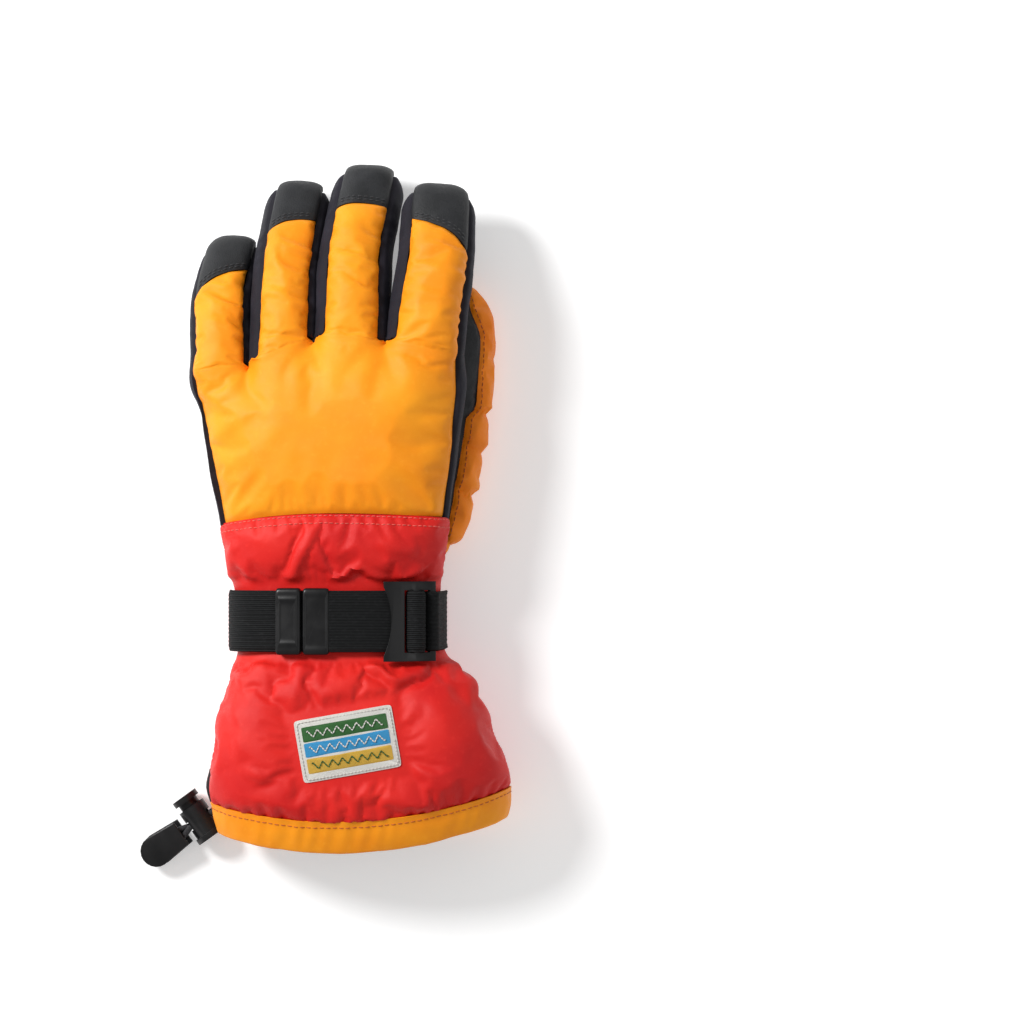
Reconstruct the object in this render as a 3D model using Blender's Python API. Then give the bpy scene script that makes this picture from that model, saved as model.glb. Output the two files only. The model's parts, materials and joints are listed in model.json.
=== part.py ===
"""A left-hand gauntlet ski glove lying palm down.

Lengths in this file are millimetres; MM turns them into Blender's metres.
+Y runs from the cuff's mouth to the fingertips, +X to the thumb side, +Z to the back of the hand.
The origin is on the surface the glove lies on, under the middle of its box (drawcord left out).
"""

import math

import bmesh
import bpy
from mathutils import Matrix, Vector

MM = 0.001
GAP = 0.45  # clearance between neighbouring pieces

# Layers, measured inwards from the outer surface.
SHELL = (0.0, 1.2)
ELASTIC = (1.8, 2.7)
PADDING = (2.0, 4.1)
LINING = (4.6, 5.6)
HEM = (-0.9, 3.9)

# Cross-sections from mouth to knuckles: y, centre x, half width, centre z, height above, depth below.
SECTIONS = (
    (-146, 4.7, 62.0, 23.9, 22.0, 23.0),
    (-134, 4.0, 63.0, 25.9, 25.0, 25.0),
    (-125, 3.5, 63.2, 26.9, 26.0, 26.0),
    (-110, 2.6, 62.5, 27.0, 26.5, 26.0),
    (-91, 0.4, 58.5, 26.8, 26.0, 24.5),
    (-74, -1.2, 50.8, 26.0, 23.0, 21.0),
    (-64, -4.5, 44.0, 25.4, 20.5, 19.5),
    (-48, -5.5, 41.8, 25.0, 19.0, 18.5),
    (-33, -6.6, 43.6, 26.0, 20.0, 18.0),
    (-20, -6.8, 46.3, 29.5, 20.0, 16.5),
    (-5, -7.0, 48.5, 33.3, 18.5, 15.0),
    (16, -7.6, 52.0, 35.6, 16.5, 14.0),
    (46, -7.6, 56.4, 36.0, 15.5, 13.5),
    (75, -8.2, 59.0, 35.6, 14.5, 13.0),
)
ROUNDNESS = 2.5  # superellipse exponent of the hand and cuff
ROLL_HAND = 0.09  # the hand leans to its little-finger side, rise over run
MOUTH_SWEEP = 10.0  # the mouth's sides are this much nearer the hand than its middle

CUFF_ROWS = (-133.4, -110, -91, -74, -64, -48, -33)
WRIST_SEAM_BACK = -5.0
WRIST_SEAM_PALM = -28.0
SEAM_RADIAL = 0.88  # where the back panel ends, as a share of the half width
SEAM_ULNAR = 0.96

# Fingers: base centre x, y, z; half width and half thickness at base and tip; length; pitch at base and tip;
# sideways bow at mid length and shift at the tip.
FINGERS = {
    "little": dict(base=(-55.4, 60.0, 31.0), wide=(12.2, 11.2), thick=(11.5, 10.6),
                   length=60.5, pitch=(6, 44), bow=(-2.6, 0.4)),
    "ring": dict(base=(-28.9, 68.0, 33.4), wide=(13.2, 12.2), thick=(12.4, 11.2),
                 length=76.0, pitch=(5, 37), bow=(-1.6, 1.2)),
    "middle": dict(base=(0.3, 71.5, 35.8), wide=(14.5, 13.0), thick=(12.8, 11.6),
                   length=79.3, pitch=(4, 37), bow=(-2.2, 2.2)),
    "index": dict(base=(31.6, 70.0, 38.4), wide=(15.2, 13.4), thick=(12.8, 11.6),
                  length=70.0, pitch=(-4, 36), bow=(1.2, 1.6)),
}
LEAN = math.radians(3.8)  # every finger points this much to the thumb side
FINGER_ROUNDNESS = 2.9
FINGER_SEAM = 0.72  # where a finger's back ends, as a share of its half width
DOME = 11.0  # length over which a fingertip closes
CAP_LENGTH = 23.0  # leather over the fingertip, on the back and on the palm side
KNUCKLE_UP = 6.0  # the knuckle's axis above the finger's underside

THUMB = dict(root=(38.0, 12.0), tip=(46.0, 97.5), z=11.6, wide=(15.6, 14.6), thick=(10.9, 10.4))
THUMB_BEHIND = 15.5  # how far the thumb reaches behind its root
THUMB_HOLE = 11.5
THUMB_SEAMS = (-62.0, 68.0, 200.0)  # angles round the thumb where its three panels meet

STRAP = dict(y=-48.0, width=25.0, thick=1.5)
STRAP_CENTRE = (-5.5, -71.4)  # x and z of the centre that the strap curves about
STRAP_RADIUS = 118.0
STRAP_SHOULDER = 37.2  # the strap turns down this far along its curve from the top, on the little-finger side
SHOULDER_RADIUS = 12.0
GRIP = (-25.6, -14.8)  # stretches of the strap's curve from the top, towards the thumb
CLIP = (-14.3, -3.0)
TAIL = (-5.4, 24.0)
WEBBING_END = 28.0
BUCKLE = dict(start=19.0, length=23.0, radius=45.0, width=34.0, lift=4.4, thick=2.4)
BUCKLE_WINDOWS = ((8.5, 12.5), (15.3, 20.3))  # from the buckle's front edge

CORD_RADIUS = 1.3
LOCK_AT = (-67.0, -135.4, 7.4)
LOCK_TURN = math.atan2(-0.585, -0.81)  # plan direction from the lock to the pull tab
TAB_TILT = math.radians(10)  # the pull tab's cord end is held up by the cord
TAB_NEAR = 8.4  # from the lock's axis to the tab
TAB_LENGTH = 14.4  # to the centre of its round end
TAB_HALF_WIDTH = (5.9, 7.1)
TAB_POST = 6.0  # the post that the cord loops round
TAB_POST_RADIUS = 1.5
CORD_EXIT = Vector((-59.6, -128.6, 12.0))
CORD_BEND = Vector((-62.6, -121.0, 15.0))
CORD_RETURN = Vector((-60.9, -113.0, 18.0))

COLOURS = {
    "orange_nylon": ((0.93, 0.34, 0.02), 0.5, 0.0),
    "red_nylon": ((0.75, 0.03, 0.025), 0.5, 0.0),
    "black_leather": ((0.025, 0.026, 0.03), 0.55, 0.0),
    "black_softshell": ((0.018, 0.017, 0.022), 0.8, 0.0),
    "padding": ((0.8, 0.8, 0.78), 0.9, 0.0),
    "lining": ((0.05, 0.05, 0.055), 0.95, 0.0),
    "elastic": ((0.1, 0.1, 0.1), 0.9, 0.0),
    "webbing": ((0.02, 0.02, 0.022), 0.75, 0.0),
    "plastic": ((0.03, 0.03, 0.032), 0.4, 0.0),
    "cord": ((0.015, 0.015, 0.017), 0.8, 0.0),
    "patch": ((0.8, 0.77, 0.68), 0.8, 0.0),
    "spring_steel": ((0.6, 0.6, 0.6), 0.3, 1.0),
}


# ---------------------------------------------------------------- scene helpers


def clear_scene():
    for obj in list(bpy.data.objects):
        bpy.data.objects.remove(obj, do_unlink=True)


def new_collection(name):
    collection = bpy.data.collections.new(name)
    bpy.context.scene.collection.children.link(collection)
    return collection


def material(name):
    found = bpy.data.materials.get(name)
    if found:
        return found
    colour, roughness, metallic = COLOURS[name]
    made = bpy.data.materials.new(name)
    made.use_nodes = True
    shader = made.node_tree.nodes["Principled BSDF"]
    shader.inputs["Base Color"].default_value = (*colour, 1.0)
    shader.inputs["Roughness"].default_value = roughness
    shader.inputs["Metallic"].default_value = metallic
    return made


def pivot(name, place, rotation=None):
    """An empty on a joint's axis, which the moving pieces are parented to."""
    empty = bpy.data.objects.new(name, None)
    empty.matrix_world = Matrix.Translation(Vector(place) * MM) @ (rotation or Matrix()).to_4x4()
    parts.objects.link(empty)
    return empty


def keep(obj, slot, parent=None, local=False):
    """Files an object with the parts.

    A mesh in the glove's frame is re-expressed in its parent's, unless it is local already.
    """
    for collection in list(obj.users_collection):
        collection.objects.unlink(obj)
    parts.objects.link(obj)
    obj.data.materials.clear()
    obj.data.materials.append(material(slot))
    if parent:
        if not local:
            obj.data.transform(parent.matrix_world.inverted())
        obj.parent = parent
    return obj


def solid(name, points, faces, slot, parent=None):
    mesh = bpy.data.meshes.new(name)
    mesh.from_pydata([Vector(p) * MM for p in points], [], faces)
    work = bmesh.new()
    work.from_mesh(mesh)
    bmesh.ops.recalc_face_normals(work, faces=work.faces)
    work.to_mesh(mesh)
    work.free()
    mesh.shade_smooth()
    mesh.set_sharp_from_angle(angle=math.radians(40))
    return keep(bpy.data.objects.new(name, mesh), slot, parent)


def sheet(name, outer, inner, slot, parent=None, ring=False, closed_end=False):
    """A closed wall between two grids of points, rows along it and columns across.

    ring joins the last column to the first; closed_end caps the last row, as a stall's tip.
    """
    rows, columns = len(outer), len(outer[0])
    points = [p for grid in (outer, inner) for row in grid for p in row]
    spans = columns if ring else columns - 1
    inside = rows * columns

    def at(row, column, layer=0):
        return layer * inside + row * columns + column % columns

    faces = []
    for row in range(rows - 1):
        for column in range(spans):
            quad = [at(row, column), at(row, column + 1), at(row + 1, column + 1), at(row + 1, column)]
            faces += [quad, [quad[turn] + inside for turn in (0, 3, 2, 1)]]
    for row in [0] if closed_end else [0, rows - 1]:
        for column in range(spans):
            faces.append([at(row, column), at(row, column + 1), at(row, column + 1, 1), at(row, column, 1)])
    if closed_end:
        for layer in (0, 1):
            faces.append([at(rows - 1, column, layer) for column in range(columns)])
    if not ring:
        for column in (0, columns - 1):
            for row in range(rows - 1):
                below, above = at(row, column), at(row + 1, column)
                faces.append([below, above, at(row + 1, column, 1), at(row, column, 1)])
    return solid(name, points, faces, slot, parent)


def cut(obj, cutter):
    """Takes cutter out of obj and files the cutter apart, unrendered."""
    for collection in list(cutter.users_collection):
        collection.objects.unlink(cutter)
    cutters.objects.link(cutter)
    cutter.hide_render = True
    cutter.display_type = "WIRE"
    modifier = obj.modifiers.new("cut_" + cutter.name, "BOOLEAN")
    modifier.operation = "DIFFERENCE"
    modifier.object = cutter


def join_solid(obj, other):
    """Adds other to obj as one body, and files other apart, unrendered."""
    cut(obj, other)
    obj.modifiers[-1].operation = "UNION"


def box(name, size, centre, parent=None):
    bpy.ops.mesh.primitive_cube_add(size=1)
    obj = bpy.context.active_object
    obj.name = name
    obj.data.transform(Matrix.Translation(Vector(centre) * MM) @ Matrix.Diagonal((*(Vector(size) * MM), 1)))
    obj.parent = parent
    return obj


def drum(name, radius, low, high, sides=20, parent=None):
    """A cylinder along its own Z, from low to high."""
    depth = (high - low) * MM
    bpy.ops.mesh.primitive_cylinder_add(vertices=sides, radius=radius * MM, depth=depth)
    obj = bpy.context.active_object
    obj.name = name
    obj.data.transform(Matrix.Translation((0, 0, (low + high) / 2 * MM)))
    obj.parent = parent
    return obj


def round_bar(name, points, radius, slot, cyclic=False, parent=None, resolution=2):
    """A cord or wire through points."""
    curve = bpy.data.curves.new(name, "CURVE")
    curve.dimensions = "3D"
    curve.bevel_depth = radius * MM
    curve.bevel_resolution = resolution
    curve.use_fill_caps = not cyclic
    spline = curve.splines.new("POLY")
    spline.points.add(len(points) - 1)
    for point, place in zip(spline.points, points):
        point.co = (*(Vector(place) * MM), 1)
    spline.use_cyclic_u = cyclic
    return keep(bpy.data.objects.new(name, curve), slot, parent)


def smooth_route(points, steps):
    """A Catmull-Rom curve through points, with that many steps between each two."""
    ends = [points[0] * 2 - points[1], *points, points[-1] * 2 - points[-2]]
    found = []
    for a, b, c, d in zip(ends, ends[1:], ends[2:], ends[3:]):
        for k in range(steps):
            t = k / steps
            found.append(0.5 * (2 * b + (c - a) * t + (2 * a - 5 * b + 4 * c - d) * t**2
                                + (3 * b - a - 3 * c + d) * t**3))
    return found + [points[-1]]


# ---------------------------------------------------------------- hand and cuff


def section(y):
    """Centre x, half width, centre z, height above and depth below at y."""
    table = SECTIONS
    y = min(max(y, table[0][0]), table[-1][0])
    k = next(i for i in range(len(table) - 1) if y <= table[i + 1][0])
    share = (y - table[k][0]) / (table[k + 1][0] - table[k][0])
    return [a + (b - a) * share for a, b in zip(table[k][1:], table[k + 1][1:])]


def power(value, exponent):
    return math.copysign(abs(value) ** exponent, value)


def hand_angle(across):
    """The angle round the section at a share of its half width, on the back."""
    return math.acos(power(across, ROUNDNESS / 2))


def hand_roll(y):
    return ROLL_HAND * min(max((y + 40) / 45, 0), 1)


def hand_point(y, angle, inset):
    """A point of the hand or cuff, at an angle round its section and so far inside its outer surface."""
    centre, wide, level, above, below = section(y)
    across = power(math.cos(angle), 2 / ROUNDNESS)
    up = power(math.sin(angle), 2 / ROUNDNESS)
    x = (wide - inset) * across
    height = (above if up > 0 else below) - inset
    sweep = MOUTH_SWEEP * min(max((-100 - y) / 34, 0), 1)
    return Vector((centre + x, y + sweep * across**2, level + hand_roll(y) * x + height * up))


def spread(low, high, steps):
    return [low + (high - low) * k / steps for k in range(steps + 1)]


def hand_grid(rows, angles, inset, ends=None):
    """Points of the hand's surface. ends gives each column's last y, where the fingers begin."""
    grid = [[hand_point(y, angle, inset) for angle in angles] for y in rows]
    if ends:
        grid.append([hand_point(y, angle, inset) for y, angle in zip(ends, angles)])
    return grid


def knuckle_columns(steps):
    """(angle, last y) across the back, from the little-finger side to the thumb side.

    Each finger takes so many steps.
    """
    centre, wide, *_ = section(70)
    found = []
    for name, finger in FINGERS.items():
        x, y, _ = finger["base"]
        half = finger["wide"][0] + 0.1
        low = centre - SEAM_ULNAR * wide + 0.3 if name == "little" else x - half
        high = centre + SEAM_RADIAL * wide - 0.3 if name == "index" else x + half
        found += [(hand_angle((column - centre) / wide), y - 1.0) for column in spread(low, high, steps)]
    return found


def around(layer, rows, angles, name, slot, ends=None, ring=False):
    outer, inner = layer
    grids = [hand_grid(rows, angles, inset, ends) for inset in (outer, inner)]
    return sheet(name, *grids, slot, ring=ring)


def make_cuff():
    edge = 0.011
    back = spread(math.pi - edge, edge, 12)
    under = spread(math.pi + edge, 2 * math.pi - edge, 12)
    to_seam = [*CUFF_ROWS, WRIST_SEAM_PALM, -16, WRIST_SEAM_BACK - 1.2]
    around(SHELL, to_seam, back, "cuff_back_panel", "red_nylon")
    around(SHELL, [*CUFF_ROWS, WRIST_SEAM_PALM - GAP], under, "cuff_palm_panel", "red_nylon")
    full = spread(0, 2 * math.pi, 20)[:-1]
    around(LINING, [*CUFF_ROWS, WRIST_SEAM_PALM - GAP], full, "cuff_lining", "lining", ring=True)
    gathered = spread(math.pi + 3 * edge, 2 * math.pi - 3 * edge, 12)
    around(ELASTIC, [-55, -48, -40], gathered, "wrist_elastic", "elastic")


def make_hem():
    """The folded hem, a ring whose inner side has a channel that holds the drawcord."""
    outside, inside = HEM
    floor = 0.4
    profile = [(outside, -146), (outside, -134), (inside, -134), (inside, -138.2), (floor, -138.2),
               (floor, -142.2), (inside, -142.2), (inside, -146)]
    turns = spread(0, 2 * math.pi, 24)[:-1]
    points = [hand_point(y, angle, inset) for angle in turns for inset, y in profile]
    count = len(profile)
    faces = []
    for turn in range(len(turns)):
        for k in range(count):
            here, there = turn * count, (turn + 1) % len(turns) * count
            faces.append([here + k, here + (k + 1) % count, there + (k + 1) % count, there + k])
    solid("cuff_hem", points, faces, "orange_nylon")
    middle = floor + 0.5 + CORD_RADIUS
    route = [hand_point(-140.2, angle, middle) for angle in turns]
    round_bar("hem_drawcord", route, CORD_RADIUS, "cord", cyclic=True, resolution=1)


def thumb_cutter(name, radius, low, high):
    x, y = THUMB["root"]
    obj = drum(name, radius, low, high, sides=24)
    obj.location = (x * MM, y * MM, 0)
    return obj


def make_hand():
    angles, ends = zip(*knuckle_columns(3))
    rows = [10, 28, 46]
    around(SHELL, [WRIST_SEAM_BACK, *rows], angles, "hand_back_panel", "orange_nylon", ends)

    below = [2 * math.pi - angle for angle in angles]
    early = [WRIST_SEAM_PALM, -16, -5]
    palm = around(SHELL, [*early, *rows], below, "palm_panel", "black_leather", ends)
    cut(palm, thumb_cutter("palm_hole_cutter", THUMB_HOLE + 1, 14, 36))

    side_wall("radial_side_wall", 0, hand_angle(SEAM_RADIAL), FINGERS["index"]["base"][1] - 1)
    side_wall("ulnar_side_wall", math.pi, hand_angle(SEAM_ULNAR), FINGERS["little"]["base"][1] - 1)

    # The inner layers go all the way round: the back, the thumb side, the palm and the little-finger side.
    angles, ends = zip(*knuckle_columns(1))
    thumb_side = spread(angles[-1], -angles[-1], 4)[1:-1]
    little_side = spread(-angles[0], angles[0] - 2 * math.pi, 4)[1:-1]
    full = [*angles, *thumb_side, *[-angle for angle in reversed(angles)], *little_side]
    full_ends = [*ends, *[ends[-1]] * len(thumb_side), *reversed(ends), *[ends[0]] * len(little_side)]
    for name, layer, slot in (("hand_padding", PADDING, "padding"), ("hand_lining", LINING, "lining")):
        obj = around(layer, [*early, *rows], full, name, slot, [y - 0.4 for y in full_ends], ring=True)
        cut(obj, thumb_cutter(name + "_hole_cutter", THUMB_HOLE + 1, 14, 38))


def side_wall(name, middle, reach, last):
    """The strip between back and palm, its upper half ending where the cuff's back begins."""
    near = reach - 0.015
    side = 1 if middle == 0 else -1

    def turns(low, high):
        return [middle + side * turn for turn in spread(low, high, 4)]

    wall = around(SHELL, [WRIST_SEAM_PALM + 0.6, -16, -5, 10, 28, 46, last], turns(-near, near), name,
                  "black_softshell")
    behind = around((-2.0, 3.0), [WRIST_SEAM_PALM - 2, -16, WRIST_SEAM_BACK], turns(-0.03, near + 0.1),
                    name + "_cutter", "red_nylon")
    cut(wall, behind)


# ---------------------------------------------------------------- fingers and thumb


def finger_frame(finger, along):
    """Centre, across and up directions at a length along the finger, which curls in one arc."""
    low, high = (math.radians(angle) for angle in finger["pitch"])
    bend = (high - low) / finger["length"]
    pitch = low + bend * along
    ahead = (math.sin(pitch) - math.sin(low)) / bend
    drop = (math.cos(low) - math.cos(pitch)) / bend
    x, y, z = finger["base"]
    share = min(max(along / finger["length"], 0), 1)
    middle_bow, tip_shift = finger["bow"]
    aside = middle_bow * math.sin(math.pi * share) ** 2 + tip_shift * share**2 * (3 - 2 * share)
    centre = Vector((x + ahead * math.sin(LEAN) + aside, y + ahead * math.cos(LEAN), z - drop))
    across = Vector((math.cos(LEAN), -math.sin(LEAN), 0))
    up = Vector((math.sin(pitch) * math.sin(LEAN), math.sin(pitch) * math.cos(LEAN), math.cos(pitch)))
    return centre, across, up


def finger_point(finger, share, angle, inset, start=0.0):
    """A point of a finger's surface; share runs from its start to its tip."""
    length = finger["length"] - inset
    along = start + (length - start) * share
    centre, across, up = finger_frame(finger, along)
    whole = along / length
    wide = finger["wide"][0] + (finger["wide"][1] - finger["wide"][0]) * whole - inset
    thick = finger["thick"][0] + (finger["thick"][1] - finger["thick"][0]) * whole - inset
    closing = max(0.0, (along - (length - DOME)) / DOME)
    wide *= 1 - 0.32 * closing**3
    thick *= (1 - min(closing, 1) ** 2.4) ** (1 / 2.4)
    return (centre + across * wide * power(math.cos(angle), 2 / FINGER_ROUNDNESS)
            + up * thick * power(math.sin(angle), 2 / FINGER_ROUNDNESS))


def finger_start(finger, angle, inset):
    """Where a finger's walls begin: later below the knuckle's axis, so that the finger can flex."""
    height = (finger["thick"][0] - inset) * power(math.sin(angle), 2 / FINGER_ROUNDNESS)
    under_axis = KNUCKLE_UP - finger["thick"][0] - height
    return 0.8 + max(0.0, under_axis) * 1.1


def finger_grid(finger, shares, angles, inset):
    starts = [finger_start(finger, angle, inset) for angle in angles]
    return [[finger_point(finger, share, angle, inset, start) for angle, start in zip(angles, starts)]
            for share in shares]


def dome_shares(finger, first, end=1.0):
    """Stations from the cap's seam over the closing tip."""
    begin = 1 - DOME / finger["length"]
    closing = [0.0, 0.45, 0.75, 0.93, 1.0]
    return [first] + [begin + (1 - begin) * t for t in closing if begin + (1 - begin) * t <= end + 1e-6]


def make_finger(name, finger):
    centre, across, up = finger_frame(finger, 0)
    axis_at = centre - up * (finger["thick"][0] - KNUCKLE_UP)
    joint = pivot(name + "_knuckle", axis_at)
    seam = math.acos(FINGER_SEAM ** (FINGER_ROUNDNESS / 2))
    edge = 0.022
    cap = 1 - CAP_LENGTH / finger["length"]
    slack = GAP / finger["length"]
    body = spread(0, cap - slack, 3)
    to_cap = spread(0, cap, 3)
    top = spread(math.pi - seam - edge, seam + edge, 3)
    bottom = spread(math.pi + seam + edge, 2 * math.pi - seam - edge, 3)

    def wall(label, angles, shares, slot):
        outer, inner = (finger_grid(finger, shares, angles, inset) for inset in SHELL)
        sheet(f"{name}_{label}", outer, inner, slot, joint)

    wall("back", top, body, "orange_nylon")
    wall("palm_side", bottom, body, "black_leather")
    to_tip = [*to_cap, *dome_shares(finger, cap, 0.985)[1:]]
    wall("radial_wall", spread(-seam + edge, seam - edge, 4), to_tip, "black_softshell")
    wall("ulnar_wall", spread(math.pi - seam + edge, math.pi + seam - edge, 4), to_tip, "black_softshell")

    # The leather cap runs from the back, over the tip and under it.
    over = dome_shares(finger, cap)
    under = [2 * math.pi - angle for angle in top]
    strips = []
    for inset in SHELL:
        upper = finger_grid(finger, over, top, inset)
        lower = finger_grid(finger, over, under, inset)
        strips.append(upper + lower[-2::-1])
    sheet(name + "_tip_cap", strips[0], strips[1], "black_leather", joint)

    full = top + spread(seam + edge, -seam - edge, 3)[1:-1]
    full += [-angle for angle in reversed(top)]
    full += spread(-math.pi + seam + edge, -math.pi - seam - edge, 3)[1:-1]
    stall = [*to_cap, *dome_shares(finger, cap, 0.99)[1:]]
    for label, layer, slot in (("padding", PADDING, "padding"), ("lining", LINING, "lining")):
        outer, inner = (finger_grid(finger, stall, full, inset) for inset in layer)
        sheet(f"{name}_{label}", outer, inner, slot, joint, ring=True, closed_end=True)


def thumb_row(along, low, high, inset):
    """One station of a thumb panel, a little short of its seams, however narrow the thumb is there."""
    across = (thumb_point(along, 0, inset) - thumb_point(along, math.pi, inset)).length
    edge = min(0.5, 0.9 / across + 0.006)
    return [thumb_point(along, angle, inset) for angle in spread(low + edge, high - edge, 5)]


def thumb_point(along, angle, inset):
    """A point of the thumb's surface, at a length from its root's centre."""
    root, tip = Vector((*THUMB["root"], THUMB["z"])), Vector((*THUMB["tip"], THUMB["z"]))
    reach = (tip - root).length
    ahead = (tip - root).normalized()
    across = Vector((ahead.y, -ahead.x, 0))
    low, high = -THUMB_BEHIND + inset, reach - inset
    place = low + (high - low) * along
    share = max(0.0, place / reach)
    closing = 1.0
    for length, depth in ((13.0, place - low), (24.0, high - place)):
        if depth < length:
            closing = min(closing, math.sqrt(max(0.0, 1 - (1 - depth / length) ** 2)))
    wide = (THUMB["wide"][0] + (THUMB["wide"][1] - THUMB["wide"][0]) * share - inset) * closing
    thick = (THUMB["thick"][0] + (THUMB["thick"][1] - THUMB["thick"][0]) * share - inset) * closing
    return (root + ahead * place + across * wide * power(math.cos(angle), 2 / 2.4)
            + Vector((0, 0, thick * power(math.sin(angle), 2 / 2.4))))


def make_thumb():
    joint = pivot("thumb_root", (*THUMB["root"], THUMB["z"]))
    stations = [0.002, 0.015, 0.05, 0.1, 0.3, 0.55, 0.76, 0.86, 0.94, 0.98, 0.998]
    under, over, inner_side = (math.radians(angle) for angle in THUMB_SEAMS)
    panels = (
        ("thumb_side_panel", under, over, "orange_nylon"),
        ("thumb_leather", over, inner_side, "black_leather"),
        ("thumb_back_panel", inner_side, 2 * math.pi + under, "orange_nylon"),
    )
    made = {}
    for name, low, high, slot in panels:
        grids = [[thumb_row(share, low, high, inset) for share in stations] for inset in SHELL]
        made[name] = sheet(name, grids[0], grids[1], slot, joint)
    for name in ("thumb_leather", "thumb_side_panel"):
        cutter = thumb_cutter(name + "_hole_cutter", THUMB_HOLE, THUMB["z"] + 4, 40)
        cut(made[name], cutter)
    full = spread(0, 2 * math.pi, 14)[:-1]
    for name, layer, slot in (("thumb_padding", PADDING, "padding"), ("thumb_lining", LINING, "lining")):
        grids = [[[thumb_point(share, angle, inset) for angle in full]
                  for share in [0.3, 0.55, 0.76, 0.86, 0.94, 0.98]] for inset in layer]
        sheet(name, grids[0], grids[1], slot, joint, ring=True, closed_end=True)


# ---------------------------------------------------------------- wrist strap


def strap_at(along, lift):
    """A point of the strap's curve, in the XZ plane, lift above its inner face. along runs from the top."""
    centre = Vector((STRAP_CENTRE[0], 0, STRAP_CENTRE[1]))
    turn = max(-STRAP_SHOULDER, along) / STRAP_RADIUS
    out = Vector((math.sin(turn), 0, math.cos(turn)))
    if along >= -STRAP_SHOULDER:
        return centre + out * (STRAP_RADIUS + lift)
    pivot_at = centre + out * (STRAP_RADIUS - SHOULDER_RADIUS)
    turn += (along + STRAP_SHOULDER) / SHOULDER_RADIUS
    return pivot_at + Vector((math.sin(turn), 0, math.cos(turn))) * (SHOULDER_RADIUS + lift)


def buckle_turn(along):
    """The buckle's slope at a length from its front edge."""
    return BUCKLE["start"] / STRAP_RADIUS + along / BUCKLE["radius"]


def buckle_at(along, lift):
    """A point of the buckle, which curves more than the strap, at a length from its front edge."""
    start = BUCKLE["start"]
    out = Vector((math.sin(start / STRAP_RADIUS), 0, math.cos(start / STRAP_RADIUS)))
    centre = strap_at(start, BUCKLE["lift"]) - out * BUCKLE["radius"]
    turn = buckle_turn(along)
    return centre + Vector((math.sin(turn), 0, math.cos(turn))) * (BUCKLE["radius"] + lift)


def band(name, path, widths, slot, parent=None):
    """A flat band: path gives (inner point, outer point) pairs in the XZ plane, widths its two Y edges."""
    grids = [[[Vector((pair[layer].x, y, pair[layer].z)) for y in widths] for pair in path]
             for layer in (1, 0)]
    return sheet(name, grids[0], grids[1], slot, parent)


def along_band(name, route, stations, low, high, widths, slot, parent=None):
    return band(name, [(route(place, low), route(place, high)) for place in stations], widths, slot, parent)


def loop_pairs(centre, start, end, inner, outer, steps):
    """Pairs of points round a bar, from one angle to another, measured from above towards the thumb."""
    pairs = []
    for turn in spread(math.radians(start), math.radians(end), steps):
        ray = Vector((math.sin(turn), 0, math.cos(turn)))
        pairs.append((centre + ray * inner, centre + ray * outer))
    return pairs


def make_buckle(joint):
    y, thick, length = STRAP["y"], BUCKLE["thick"], BUCKLE["length"]
    edges = (y - BUCKLE["width"] / 2, y + BUCKLE["width"] / 2)
    buckle = along_band("buckle", buckle_at, spread(0, length, 10), 0, thick, edges, "plastic", joint)
    for low, high in BUCKLE_WINDOWS:
        middle = (low + high) / 2
        window = box(f"buckle_window_cutter_{low:.0f}", (high - low, STRAP["width"] + 1.4, 12), (0, 0, 0))
        place = buckle_at(middle, thick / 2)
        window.location = Vector((place.x, y, place.z)) * MM
        window.rotation_euler = (0, buckle_turn(middle), 0)
        cut(buckle, window)
    lip_radius, lip_depth = 34, 3.6
    lip = drum("buckle_lip_cutter", lip_radius, -12, 12, sides=64)
    place = buckle_at(0, 0)
    lip.location = Vector((place.x - lip_radius + lip_depth, y, place.z)) * MM
    cut(buckle, lip)


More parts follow.
